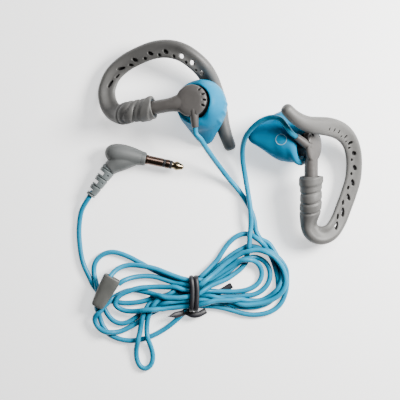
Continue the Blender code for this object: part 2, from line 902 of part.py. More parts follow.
def make_hank():
    """The folded cord's outer shape, low where the split sleeve lies on it."""
    hank = new_object("cord_hank", prism(HANK_OUTLINE, HANK_BASE, HANK_HIGH), "cord_blue")
    top, bottom = Vector(SPLIT_TOP), Vector(SPLIT_BOTTOM)
    way = (bottom - top).normalized()
    across = way.cross(UP).normalized() * SPLIT_ROOM
    rings = []
    for end in (top - way, bottom + way * 6.0):
        low, high = (Vector((0, 0, z - end.z)) for z in (HANK_LOW, HANK_HIGH + 3.0))
        rings.append([end - across + low, end + across + low, end + across + high, end - across + high])
    boolean(hank, cutter("split_room", loft(rings)))
    x, y = WAIST
    half = TIE_WIDTH / 2.0 + GAP
    rings = []
    for reach in (-half, half):
        rings.append(band_outline(x + reach, y, WAIST_HALF_WIDTH - 0.5, 1.6, HANK_HIGH - 1.2))
        rings.append(band_outline(x + reach, y, WAIST_HALF_WIDTH + 6.0, -3.0, HANK_HIGH + 6.0))
    order = (0, 1, 3, 2)
    boolean(hank, cutter("tie_room", ring_loft([rings[i] for i in order])))


def band_outline(x, y, half, low, high):
    """A rectangle round the waist, in the plane across the hank."""
    corners = ((-half, low), (half, low), (half, high), (-half, high))
    return [Vector((x, y + reach, z)) for reach, z in corners]


def make_tie():
    """The flat twist tie round the hank's waist and its free tail."""
    x, y = WAIST
    half = TIE_WIDTH / 2.0
    inner = WAIST_HALF_WIDTH - 0.2
    outer = inner + TIE_THICKNESS
    low, high = 1.3, HANK_HIGH - 0.9
    rings = []
    for reach in (-half, half):
        inside = band_outline(x + reach, y, inner, low, high)
        outside = band_outline(x + reach, y, outer, low - TIE_THICKNESS, high + TIE_THICKNESS)
        rings += [inside, outside]
    order = (0, 1, 3, 2)
    tie = new_object("cord_tie", ring_loft([rings[i] for i in order]), "tie_black")
    tail = box_data((x - 0.9, y - 12.6, 0.62), (x + 0.9, y - inner - 0.1, 1.28))
    boolean(tie, cutter("tie_tail", tail), "UNION")


def make_split():
    """The flat tapered sleeve where the plug's cord divides in two."""
    top, bottom = Vector(SPLIT_TOP), Vector(SPLIT_BOTTOM)
    way = (bottom - top).normalized()
    across = way.cross(UP).normalized()
    normal = across.cross(way)
    sections = (
        (0.0, 3.3, 1.7),
        (0.06, 3.7, 2.0),
        (0.5, 3.1, 1.9),
        (0.94, 2.4, 1.7),
        (1.0, 2.1, 1.4),
    )
    rings = []
    for share, wide, thick in sections:
        rings.append(circle(top.lerp(bottom, share), wide, across, normal, 16, thick))
    new_object("cord_split", loft(rings), "plug_grey")


def main():
    clear_scene()
    for name in SIDES:
        make_earpiece(name)
    plug_exit = make_plug()
    make_cord("cord_plug_lead", (plug_exit, *PLUG_LEAD))
    for name, lead in (("left", LEFT_LEAD), ("right", RIGHT_LEAD)):
        side = SIDES[name]
        start, *_, end = relief_route(side)
        way = (end - start).normalized()
        leaving = [to_world(side, end + way * reach) for reach in (1.5 * GAP, 2.5)]
        make_cord(f"cord_{name}_lead", (*leaving, *lead))
    make_cord("cord_low_loop", LOW_LOOP, 2.5)
    make_hank()
    make_tie()
    make_split()


main()
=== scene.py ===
"""Looks of the wired sports earphones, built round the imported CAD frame.

Sizes and places in this file are millimetres in the frame's own axes, and finished()
turns them into metres. Each earpiece is drawn in its own frame: the origin is the middle
of the round cap's face, +X runs from the ear hook's sleeve towards the cap, +Z comes out
of the cap's face, and the cord leaves on the cord side.
"""

import math

import bmesh
import bpy
import numpy as np
from mathutils import Matrix, Vector
from mathutils.bvhtree import BVHTree


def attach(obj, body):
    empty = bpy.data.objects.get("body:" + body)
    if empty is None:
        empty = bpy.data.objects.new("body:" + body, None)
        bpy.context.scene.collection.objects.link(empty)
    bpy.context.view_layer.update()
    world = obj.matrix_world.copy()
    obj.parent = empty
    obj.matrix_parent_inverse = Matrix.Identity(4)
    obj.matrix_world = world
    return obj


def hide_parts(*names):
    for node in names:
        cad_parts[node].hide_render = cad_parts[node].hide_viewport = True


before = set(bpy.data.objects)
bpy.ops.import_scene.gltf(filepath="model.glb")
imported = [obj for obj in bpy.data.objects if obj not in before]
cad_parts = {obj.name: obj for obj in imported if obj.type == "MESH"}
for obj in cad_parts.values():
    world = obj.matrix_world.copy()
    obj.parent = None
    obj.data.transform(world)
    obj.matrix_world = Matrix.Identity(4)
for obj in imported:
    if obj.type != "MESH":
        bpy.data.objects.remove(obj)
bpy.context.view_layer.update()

METRES = 0.001
SHARP_ANGLE = 50.0
UP = Vector((0.0, 0.0, 1.0))
ROOT = "earpieces_and_cord"

# Earpiece
CAP_RADIUS = 6.0
CAP_THICKNESS = 1.6
NOTCH_ANGLES = (-32.0, -9.0, 16.0, 42.0)
STEM_RADIUS = 2.6
STEM_DEPTH = 1.7
STEM_LENGTH = 18.6
BUD_CENTRE_X = 2.0
TIP_LIP = -4.9
LUMP_ANGLES = (6.0, 28.0, 50.0)
RIM_DEPTH = 12.0
NOZZLE_DEPTH = 22.8
EMBLEM_RADIUS = 2.0
EMBLEM_HALF_WIDTH = 0.15
EMBLEM_HEIGHT = 0.1
EMBLEMS = {"right": (18.7, 0.4)}

# Ear hook
SLEEVE_RADIUS = 4.2
SOCKET_RADIUS = 3.4
SOCKET_LENGTH = 9.6
SLEEVE_LENGTH = 12.5
BAND_WIDTH = 7.1
BAND_THICKNESS = 5.0
WEB_THICKNESS = 2.4
HOOK_TIP_WIDTH = 4.6
HOOK_STEP = 0.35

# Cord, tie and plug
CORD_RADIUS = 1.0
WAIST = (-14.5, -58.5)
WAIST_HALF_WIDTH = 6.2
TIE_TOP = 6.3
WAIST_ROOM = WAIST_HALF_WIDTH - CORD_RADIUS
JACK_RADIUS = 1.75
JACK_HEIGHT = 4.7

# The hooks' slots: the run along the hook, the inset from its middle line, the length, the
# width and the slant in degrees.
LEFT_SLOTS = (
    (31.6, 1.3, 3.3, 1.25, -15), (39.4, 1.3, 3.5, 1.2, -28), (46.7, 1.4, 2.7, 1.2, -45),
    (53.5, 1.4, 2.5, 1.3, -38), (60.1, 1.45, 2.4, 1.4, -32), (66.7, 1.35, 2.3, 1.45, -32),
    (71.9, 1.2, 2.2, 1.4, -32), (77.3, 0.9, 2.0, 1.35, -32), (36.0, 2.4, 2.2, 0.85, -12),
    (44.2, 2.4, 2.3, 0.85, -35), (50.9, 2.5, 1.6, 1.0, -25), (57.5, 2.6, 1.5, 1.0, -25),
    (64.1, 2.6, 1.3, 0.95, -25), (69.8, 2.5, 1.2, 0.9, -25), (74.8, 2.2, 0.9, 0.8, 0),
)
RIGHT_SLOTS = (
    (32.8, 0.5, 3.3, 1.0, 20), (38.8, 0.5, 3.6, 1.1, 18), (45.0, 0.5, 2.7, 1.1, 36),
    (51.2, 0.6, 2.6, 1.25, 25), (57.2, 0.6, 2.3, 1.35, 27), (63.0, 0.6, 2.0, 1.5, 27),
    (68.0, 0.8, 2.2, 1.2, 80), (72.5, 1.0, 1.7, 0.85, 80), (77.2, 1.0, 1.8, 0.6, 75),
    (80.0, 1.0, 1.7, 0.55, 70), (82.8, 1.0, 1.6, 0.5, 70), (36.5, 1.8, 2.3, 0.9, 15),
    (42.5, 1.8, 2.0, 0.85, 20), (48.5, 1.8, 1.5, 0.95, 20), (54.5, 1.8, 1.3, 0.9, 20),
    (60.5, 1.8, 1.2, 0.85, 20), (66.0, 1.9, 1.2, 0.75, 60), (70.5, 2.0, 1.1, 0.65, 70),
    (75.0, 2.0, 1.0, 0.6, 70),
)

# Each earpiece. origin, heading, rise and roll place its frame; cord_side is the Y side that
# the cord leaves on. rim and nozzle are the soft tip's middles across the cap's axis, and
# relief_end is the strain relief's end. mouth is the reach of the hook's sleeve from the cap,
# hook_normal the way out of the band's face, lean, lip and grooves the slant, the length of
# the mouth's lip and the places of the sleeve's grooves. Long slots past the run called blind
# go right through.
SIDES = {
    "left": {
        "cord_side": -1.0,
        "origin": (-15.2, 14.8, 21.9),
        "heading": 9.0,
        "rise": 15.0,
        "roll": -8.0,
        "rim": (1.0, -0.2),
        "nozzle": (-1.6, -10.0),
        "relief_end": (-0.4, -9.8, -3.3),
        "mouth": 15.0,
        "hook_normal": (-0.42, 0.2, 0.88),
        "lean": 0.5,
        "lip": 3.2,
        "grooves": (6.4, 9.0, 11.4),
        "blind": 62.0,
        "slots": LEFT_SLOTS,
    },
    "right": {
        "cord_side": 1.0,
        "origin": (32.0, -2.0, 13.5),
        "heading": 90.0,
        "rise": 6.0,
        "roll": 60.0,
        "rim": (3.6, 0.8),
        "nozzle": (4.4, 8.8),
        "relief_end": (4.0, 8.8, -4.0),
        "mouth": 11.4,
        "hook_normal": (-0.58, 0.1, -0.8),
        "lean": 0.22,
        "lip": 2.6,
        "grooves": (5.8, 9.4, 13.0),
        "blind": 99.0,
        "slots": RIGHT_SLOTS,
    },
}

# Centrelines of the two hooks past their sleeves, from the U-bend to the free end.
HOOK_ROUTES = {
    "left": (
        (-41.4, 10.3, 10.4), (-44.4, 11.4, 8.2), (-46.4, 13.8, 6.2), (-47.4, 16.8, 5.0),
        (-47.6, 19.6, 4.3), (-46.9, 22.5, 4.0), (-45.2, 26.0, 4.0), (-42.0, 29.2, 4.6),
        (-37.8, 31.8, 6.0), (-31.2, 34.4, 8.6), (-26.0, 35.2, 10.6), (-21.5, 34.7, 12.2),
        (-17.3, 33.0, 13.2), (-13.3, 30.2, 12.4), (-10.2, 27.2, 10.2), (-8.0, 23.8, 7.4),
        (-6.4, 20.0, 5.0), (-5.0, 16.0, 3.8), (-4.0, 11.5, 3.2), (-3.0, 7.0, 2.9),
        (-1.6, 2.5, 2.7), (-0.2, -1.2, 2.6),
    ),
    "right": (
        (30.2, -31.6, 8.2), (32.0, -35.0, 7.4), (35.2, -35.9, 6.5), (38.6, -34.4, 5.6),
        (41.4, -30.4, 4.5), (43.6, -25.0, 3.9), (45.6, -19.6, 3.6), (47.1, -14.4, 3.8),
        (47.5, -9.4, 4.6), (47.2, -5.2, 5.8), (46.2, -1.6, 7.4), (44.6, 1.2, 9.2),
        (42.4, 3.2, 11.8), (39.6, 4.5, 14.4), (36.2, 5.2, 17.2), (32.4, 5.4, 20.0),
        (28.8, 5.7, 22.6), (25.4, 6.8, 25.0), (22.4, 8.6, 27.0), (20.2, 10.6, 28.2),
    ),
}

# The cords' free stretches, then their runs through the hank to the split sleeve.
PLUG_LEAD = (
    (-57.3, -25.5, 2.0), (-58.4, -29.5, 1.2), (-58.8, -34.0, 1.2), (-58.6, -38.5, 1.2),
    (-58.0, -43.5, 1.2), (-57.0, -47.5, 1.2), (-55.6, -50.6, 1.2),
)
LEFT_LEAD = (
    (-11.6, 0.6, 18.6), (-9.6, -2.4, 15.4), (-7.2, -5.6, 11.2), (-4.4, -9.2, 6.8),
    (-0.4, -14.2, 3.0), (3.4, -18.6, 1.5), (6.6, -23.2, 1.2), (8.6, -27.4, 1.2),
    (9.6, -31.0, 1.2), (9.8, -34.0, 1.2),
)
RIGHT_LEAD = (
    (20.2, 5.2, 21.8), (18.2, 7.6, 22.3), (15.0, 8.4, 22.0), (11.4, 7.4, 20.6),
    (8.2, 5.0, 18.0), (5.7, 1.8, 14.2), (4.6, -2.2, 10.0), (4.7, -6.8, 6.6),
    (5.6, -12.2, 4.3), (6.7, -18.6, 3.6), (7.7, -25.0, 3.6), (8.0, -30.0, 3.6),
    (7.9, -33.6, 3.6),
)
RIGHT_HANK = (
    (7.0, -42.9, 4.0), (4.8, -48.5, 4.8), (-0.6, -52.3, 5.4), (-7.1, -55.2, 5.4),
    (-14.4, -59.2, 4.5), (-20.1, -60.3, 4.6), (-25.5, -60.0, 5.0), (-32.0, -58.2, 5.2),
    (-37.9, -57.2, 5.4), (-42.8, -58.7, 5.8), (-47.3, -62.2, 6.6), (-51.2, -65.5, 5.6),
    (-52.8, -68.9, 4.0), (-50.5, -72.5, 3.4), (-46.5, -73.9, 3.3), (-41.9, -73.2, 3.3),
    (-37.2, -70.6, 3.2), (-33.2, -67.4, 2.9), (-28.9, -63.9, 2.4), (-22.3, -60.7, 2.2),
    (-14.4, -59.3, 2.4), (-7.1, -59.8, 3.0), (-0.6, -61.3, 4.2), (7.0, -62.8, 4.8),
    (14.0, -61.9, 5.2), (19.4, -58.2, 5.4), (21.4, -53.1, 5.4), (19.9, -47.7, 5.4),
    (16.1, -43.4, 5.4), (10.7, -41.5, 5.6), (5.3, -42.5, 5.8), (-0.1, -46.0, 5.6),
    (-6.0, -50.7, 5.4), (-10.4, -53.7, 4.8), (-14.4, -55.2, 4.5), (-20.1, -54.8, 5.0),
    (-25.5, -53.0, 5.0), (-30.9, -51.9, 5.2), (-36.3, -52.0, 5.4), (-40.4, -53.0, 5.5),
    (-43.1, -54.7, 5.3),
)
LEFT_HANK = (
    (10.5, -37.0, 1.4), (14.2, -40.0, 1.6), (17.7, -44.1, 1.8), (19.6, -48.7, 2.0),
    (19.9, -53.8, 2.4), (17.9, -58.4, 2.8), (12.5, -61.4, 3.2), (4.8, -61.4, 3.6),
    (-3.9, -60.9, 4.2), (-9.3, -61.8, 4.4), (-14.4, -63.1, 4.5), (-20.1, -63.7, 4.2),
    (-25.5, -64.1, 5.2), (-30.9, -64.5, 6.2), (-36.3, -65.4, 5.8), (-41.2, -65.3, 5.2),
    (-44.4, -63.5, 5.2), (-45.0, -60.9, 5.4), (-41.7, -58.5, 5.6), (-36.3, -56.7, 5.6),
    (-30.9, -56.1, 5.4), (-25.5, -56.0, 5.2), (-20.1, -56.5, 5.0), (-14.4, -57.2, 4.5),
    (-9.3, -57.6, 4.8), (-3.9, -57.9, 4.8), (1.6, -58.0, 4.8), (7.0, -57.2, 4.8),
    (11.0, -54.8, 4.8), (12.5, -51.2, 5.0), (11.3, -47.4, 5.4), (7.7, -45.1, 6.0),
    (3.1, -45.9, 5.6), (-1.7, -49.3, 5.4), (-6.6, -52.5, 5.0), (-10.9, -53.7, 4.8),
    (-14.4, -53.3, 4.5), (-17.9, -53.0, 4.6), (-23.3, -51.2, 5.0), (-28.8, -49.0, 5.2),
    (-34.7, -47.7, 5.2), (-40.1, -47.6, 5.3), (-44.0, -49.1, 5.5), (-46.5, -52.0, 5.4),
    (-46.9, -54.2, 5.2),
)
MAIN_HANK = (
    (-51.6, -62.9, 4.2), (-51.4, -64.6, 4.0), (-50.9, -67.1, 2.8), (-50.1, -70.0, 1.8),
    (-48.7, -72.7, 1.3), (-46.1, -75.1, 1.2), (-42.5, -76.6, 1.2), (-38.7, -77.1, 1.2),
    (-34.4, -76.6, 1.2), (-29.5, -74.8, 1.2), (-24.5, -71.9, 1.4), (-20.2, -68.3, 1.8),
    (-16.9, -65.3, 2.2), (-14.4, -63.3, 2.4), (-9.3, -63.5, 2.6), (-3.8, -63.9, 2.4),
    (0.5, -65.0, 2.0), (4.9, -66.5, 1.4), (9.8, -67.0, 1.2), (15.3, -66.0, 1.2),
    (19.4, -63.2, 1.3), (21.5, -58.8, 1.6), (22.2, -53.9, 2.0), (21.2, -48.9, 2.4),
    (18.5, -44.8, 2.6), (14.7, -41.8, 2.8), (10.3, -40.5, 3.0), (6.0, -40.8, 3.0),
    (1.6, -42.9, 2.8), (-2.7, -46.5, 2.6), (-7.1, -50.0, 2.5), (-10.9, -52.5, 2.4),
    (-14.4, -53.4, 2.4), (-20.1, -53.1, 2.6), (-25.6, -51.4, 2.6), (-31.0, -48.9, 2.6),
    (-34.8, -46.9, 2.4), (-38.1, -45.0, 2.0), (-42.0, -43.3, 1.4), (-46.1, -42.4, 1.2),
    (-49.9, -43.6, 1.2), (-52.5, -46.3, 1.2), (-53.1, -49.6, 1.2), (-52.5, -53.4, 1.2),
    (-51.3, -57.7, 1.3), (-49.9, -62.1, 1.5), (-48.0, -66.4, 1.6), (-45.2, -69.6, 1.6),
    (-41.7, -70.5, 1.8), (-38.1, -69.2, 2.0), (-34.3, -66.6, 2.4), (-29.9, -63.6, 2.8),
    (-25.0, -61.9, 3.2), (-20.1, -61.3, 3.8), (-14.4, -61.2, 4.5), (-9.3, -61.2, 4.4),
    (-3.9, -62.1, 4.2), (1.6, -63.2, 3.8), (7.0, -64.1, 3.2), (12.5, -63.3, 2.6),
    (16.6, -60.6, 2.4), (18.8, -56.6, 2.4), (19.3, -52.2, 2.4), (18.2, -47.8, 2.6),
    (16.6, -44.0, 2.8), (14.1, -40.2, 2.4), (10.9, -37.1, 1.8), (7.1, -35.3, 1.4),
    (3.3, -35.9, 1.3), (0.0, -38.4, 1.6), (-2.5, -41.6, 2.0), (-4.6, -45.1, 2.4),
    (-7.6, -48.9, 2.6), (-10.9, -52.2, 2.6), (-14.4, -55.4, 2.4), (-18.0, -56.3, 2.6),
    (-22.3, -58.1, 3.0), (-26.1, -60.5, 3.0), (-29.3, -62.9, 3.4), (-31.3, -65.8, 4.2),
    (-32.2, -69.3, 4.8), (-32.4, -73.2, 4.0), (-31.6, -77.0, 2.4), (-30.4, -80.4, 1.3),
    (-29.9, -83.7, 1.2), (-30.7, -86.7, 1.2), (-33.0, -88.3, 1.2), (-35.3, -86.9, 1.2),
    (-36.4, -83.9, 1.2), (-36.5, -80.4, 1.3), (-35.9, -77.0, 2.4), (-34.9, -73.2, 4.0),
    (-34.4, -69.3, 4.8), (-33.3, -65.8, 4.2), (-30.9, -63.1, 3.2), (-26.1, -61.8, 2.8),
    (-20.1, -61.7, 2.6), (-14.4, -61.4, 2.4), (-9.3, -60.9, 2.8), (-3.8, -60.3, 3.2),
    (1.6, -60.0, 3.4), (7.0, -59.7, 3.6), (11.9, -58.0, 3.8), (15.1, -54.3, 3.8),
    (15.6, -49.9, 4.0), (13.8, -46.4, 4.2), (10.2, -44.4, 4.4), (6.4, -44.9, 4.4),
    (2.1, -47.7, 4.2), (-1.7, -51.0, 3.8), (-6.0, -54.1, 3.2), (-10.4, -56.3, 2.8),
    (-14.4, -57.4, 2.4), (-18.0, -57.6, 2.4), (-22.3, -58.9, 2.4), (-27.8, -60.2, 2.4),
    (-33.2, -61.6, 2.2), (-38.7, -62.4, 2.0), (-43.6, -62.2, 1.8), (-47.4, -60.8, 1.5),
    (-50.2, -59.1, 1.3), (-52.6, -56.1, 1.2),
)
SPLIT_TOP = (-45.4, -52.2, 5.6)
SPLIT_BOTTOM = (-51.6, -63.6, 4.4)

RELIEF_START = Vector((-46.75, -10.15, 4.3))
RELIEF_END = Vector((-54.2, -20.6, 3.2))
RELIEF_SLOTS = (3.1, 7.1, 11.0)
RELIEF_GROOVES = (0.7, 4.5, 8.4, 12.0)
RELIEF_PITS = ((2.6, -1.35), (6.3, -1.1), (10.1, -0.75))


# ---- Geometry helpers


def smooth_route(points, spacing):
    """Points about spacing apart on the smooth curve through given points."""
    knots = [Vector(p) for p in points]
    knots = [2 * knots[0] - knots[1]] + knots + [2 * knots[-1] - knots[-2]]
    fine = []
    for a, b, c, d in zip(knots, knots[1:], knots[2:], knots[3:]):
        for step in range(24):
            t = step / 24.0
            bend = (2 * a - 5 * b + 4 * c - d) * t * t + (3 * b - a - 3 * c + d) * t**3
            fine.append(0.5 * (2 * b + (c - a) * t + bend))
    fine.append(knots[-2])
    return even(fine, spacing)


def even(line, spacing):
    """A polyline's points again, about spacing apart."""
    line = np.array([tuple(p) for p in line])
    run = np.concatenate([[0.0], np.cumsum(np.linalg.norm(np.diff(line, axis=0), axis=1))])
    at = np.linspace(0.0, run[-1], max(2, round(run[-1] / spacing)) + 1)
    placed = np.stack([np.interp(at, run, line[:, k]) for k in range(3)], axis=1)
    return [Vector(p) for p in placed]


def tangents(route):
    """The unit direction of a polyline at each of its points."""
    ends = [route[0]] + list(route) + [route[-1]]
    return [(c - a).normalized() for a, c in zip(ends, ends[2:])]


def ease(value):
    """0 to 1 smoothly as value goes from 0 to 1."""
    value = min(1.0, max(0.0, value))
    return value * value * (3.0 - 2.0 * value)


def loft(rings, closed=False):
    """A solid through rings of equally many points, fanned shut unless it closes on itself."""
    count, rows = len(rings[0]), len(rings)
    points = [Vector(p) for ring in rings for p in ring]
    faces = []
    for row in range(rows if closed else rows - 1):
        base, after = row * count, (row + 1) % rows * count
        for i in range(count):
            j = (i + 1) % count
            faces.append((base + i, base + j, after + j, after + i))
    if not closed:
        for base in (0, (rows - 1) * count):
            points.append(sum(points[base : base + count], Vector()) / count)
            hub = len(points) - 1
            faces += [(base + i, base + (i + 1) % count, hub) for i in range(count)]
    return points, faces


def full_turn(count):
    """The cosine and the sine of each even step round a full turn."""
    angles = [2.0 * math.pi * i / count for i in range(count)]
    return [(math.cos(angle), math.sin(angle)) for angle in angles]


def circle(centre, radius, axis_x, axis_y, count, radius_y=None):
    """A ring of points, or an oval one where radius_y is given."""
    second = radius if radius_y is None else radius_y
    return [centre + axis_x * radius * c + axis_y * second * s for c, s in full_turn(count)]


def tube(route, radius, count):
    """A round tube along a route."""
    rings = []
    for point, along in zip(route, tangents(route)):
        across = along.cross(UP).normalized()
        rings.append(circle(point, radius, across, across.cross(along), count))
    return loft(rings)


def turned(profile, origin, along, count, closed=True):
    """A turned piece from (radius, reach) pairs round an axis."""
    across = (UP if abs(along.z) < 0.9 else Vector((0, 1, 0))).cross(along).normalized()
    other = along.cross(across)
    rings = [circle(origin + along * z, r, across, other, count) for r, z in profile]
    return loft(rings, closed)


def rounded(profile, radius):
    """A closed (radius, reach) outline with its corners rounded."""
    steps = 3
    corners = [Vector(corner) for corner in profile]
    result = []
    for before, here, after in zip(corners[-1:] + corners, corners, corners[1:] + corners[:1]):
        back, on = before - here, after - here
        cut = min(radius, back.length * 0.45, on.length * 0.45)
        start, end = here + back.normalized() * cut, here + on.normalized() * cut
        for step in range(steps + 1):
            t = step / steps
            result.append(tuple(start.lerp(here, t).lerp(here.lerp(end, t), t)))
    return result


def box(low, high):
    """A block between two corners."""
    (x0, y0, z0), (x1, y1, z1) = low, high
    plan = ((x0, y0), (x1, y0), (x1, y1), (x0, y1))
    points = [Vector((x, y, z)) for z in (z0, z1) for x, y in plan]
    faces = [(3, 2, 1, 0), (4, 5, 6, 7)]
    faces += [(i, (i + 1) % 4, 4 + (i + 1) % 4, 4 + i) for i in range(4)]
    return points, faces


def joined(parts):
    """Several (points, faces) shapes as one."""
    points, faces = [], []
    for part_points, part_faces in parts:
        start = len(points)
        points += part_points
        faces += [tuple(start + index for index in face) for face in part_faces]
    return points, faces


def shown(name, data):
    """A new object in the scene."""
    made = bpy.data.objects.new(name, data)
    bpy.context.scene.collection.objects.link(made)
    return made


def raw(name, data, turn=None):
    """An object with a mesh still in millimetres."""
    points, faces = data
    mesh = bpy.data.meshes.new(name)
    mesh.from_pydata([tuple(turn @ p if turn else p) for p in points], [], faces)
    work = bmesh.new()
    work.from_mesh(mesh)
    bmesh.ops.recalc_face_normals(work, faces=work.faces)
    work.to_mesh(mesh)
    work.free()
    return shown(name, mesh)


def applied(piece):
    """Puts the piece's modifiers into its mesh."""
    graph = bpy.context.evaluated_depsgraph_get()
    result = bpy.data.meshes.new_from_object(piece.evaluated_get(graph))
    piece.modifiers.clear()
    old, piece.data = piece.data, result
    bpy.data.meshes.remove(old)
    return piece


def carved(piece, data, operation="DIFFERENCE", turn=None):
    """The piece with a shape cut out of it, or joined to it."""
    tool = raw("tool", data, turn)
    change = piece.modifiers.new("cut", "BOOLEAN")
    change.operation = operation
    change.solver = "EXACT"
    change.object = tool
    applied(piece)
    mesh = tool.data
    bpy.data.objects.remove(tool)
    bpy.data.meshes.remove(mesh)
    return piece


def softened(piece, voxel, rounds):
    """The piece as one even skin, with its corners rounded off."""
    change = piece.modifiers.new("skin", "REMESH")
    change.mode = "VOXEL"
    change.voxel_size = voxel
    change = piece.modifiers.new("round", "SMOOTH")
    change.factor = 0.5
    change.iterations = rounds
    return applied(piece)


def finished(piece, finish, body, *nodes):
    """Turns millimetres into metres, gives the finish, and ties the piece to the frame."""
    piece.data.transform(Matrix.Scale(METRES, 4))
    piece.data.shade_smooth()
    piece.data.set_sharp_from_angle(angle=math.radians(SHARP_ANGLE))
    piece.data.materials.clear()
    piece.data.materials.append(finishes[finish])
    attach(piece, body)
    if nodes:
        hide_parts(*nodes)
    return piece


# ---- Earpiece frames


def earpiece_axes(side):
    """The earpiece frame's X, Y and Z axes."""
    heading, rise, roll = (math.radians(side[key]) for key in ("heading", "rise", "roll"))
    level_x = math.cos(rise)
    x_axis = Vector((level_x * math.cos(heading), level_x * math.sin(heading), math.sin(rise)))
    y_axis = Matrix.Rotation(roll, 3, x_axis) @ UP.cross(x_axis).normalized()
    return x_axis, y_axis, x_axis.cross(y_axis)


def earpiece_matrix(side):
    """Turns the earpiece's own places into the frame's."""
    matrix = Matrix(earpiece_axes(side)).transposed().to_4x4()
    matrix.translation = Vector(side["origin"])
    return matrix


def relief_ends(side):
    """The strain relief's start under the cap and its far end, in the earpiece's frame."""
    return Vector((0.4, 4.0 * side["cord_side"], -1.3)), Vector(side["relief_end"])


# ---- Camera, stage and lights (in metres and watts)

CAMERA_PLACE = (-0.0117, -0.0223, 0.450)
VIEW_HALF_WIDTH = 0.078
FLOOR_HALF_WIDTH = 1.2
FLOOR_GLOW = 0.95
SKY_GLOW = 0.07
LIGHTS = {
    "key": {"place": (0.22, 0.07, 0.20), "target": (0.0, -0.03, 0.0), "size": 0.13,
            "power": 3.5, "colour": (1.0, 0.98, 0.95)},
    "top": {"place": (0.08, 0.24, 0.42), "target": (0.0, -0.02, 0.0), "size": 0.24,
            "power": 1.25, "colour": (0.97, 0.98, 1.0)},
}


def make_camera():
    """The camera, which looks straight down on the earphones."""
    camera = bpy.data.cameras.new("camera")
    camera.angle = 2.0 * math.atan(VIEW_HALF_WIDTH / CAMERA_PLACE[2])
    camera.clip_start = 0.01
    holder = shown("camera", camera)
    holder.location = CAMERA_PLACE
    bpy.context.scene.camera = holder


def make_light(name, place, target, size, power, colour):
    """A round soft light aimed at a target."""
    light = bpy.data.lights.new(name, "AREA")
    light.shape = "DISK"
    light.size = size
    light.energy = power
    light.color = colour
    holder = shown(name, light)
    holder.location = place
    aim = Vector(target) - Vector(place)
    holder.rotation_euler = aim.to_track_quat("-Z", "Y").to_euler()


def make_stage():
    """The pale floor, the faint sky and the lights."""
    signs = ((-1, -1), (1, -1), (1, 1), (-1, 1))
    points = [(FLOOR_HALF_WIDTH * x, FLOOR_HALF_WIDTH * y, 0.0) for x, y in signs]
    mesh = bpy.data.meshes.new("floor")
    mesh.from_pydata(points, [], [(0, 1, 2, 3)])
    floor = shown("floor", mesh)
    paper = bpy.data.materials.new("floor_paper")
    paper.use_nodes = True
    shader = paper.node_tree.nodes["Principled BSDF"]
    fill(shader, {"Base Color": (0.93, 0.93, 0.93, 1.0), "Roughness": 0.9})
    fill(shader, {"Emission Color": (1.0, 1.0, 1.0, 1.0), "Emission Strength": FLOOR_GLOW})
    mesh.materials.append(paper)
    world = bpy.data.worlds.new("world")
    bpy.context.scene.world = world
    world.use_nodes = True
    sky = world.node_tree.nodes["Background"]
    fill(sky, {"Color": (1.0, 1.0, 1.0, 1.0), "Strength": SKY_GLOW})
    for name, facts in LIGHTS.items():
        make_light(name, **facts)


# ---- Cords

ROUTE_STEP = 1.1
# The free leads lie above LEAD_END in Y, and the hank below HANK_START.
LEAD_END = -30.0
HANK_START = -44.0
# Settling, a round at a time: how much a point is drawn towards its neighbours' middle and to
# its own place in plan, how far it sinks, and the share of an overlap that is pushed away.
# Neighbours nearer than KIN along a cord don't push each other.
SETTLE_ROUNDS = 260
STRAIGHTEN = (0.12, 0.12, 0.45)
HOMING = 0.06
SINK = 0.02
PUSH = (0.5, 0.5, 0.9)
CROWDING = 0.45
KIN = 5
# The gaps kept between strands and under them, and how the tie's band lifts the waist.
STRAND_GAP = 0.04
FLOOR_GAP = 0.06
TIE_LIFT = 0.95
TIE_LIFT_REACH = 9.0
TIE_REACH = 2.4


def lead_start(side):
    """Where a cord comes out of its earpiece's strain relief, and the first bit of its way."""
    start, end = relief_ends(side)
    way = (end - start).normalized()
    matrix = earpiece_matrix(side)
    return [matrix @ (end + way * reach) for reach in (-2.0, 0.45, 2.5)]


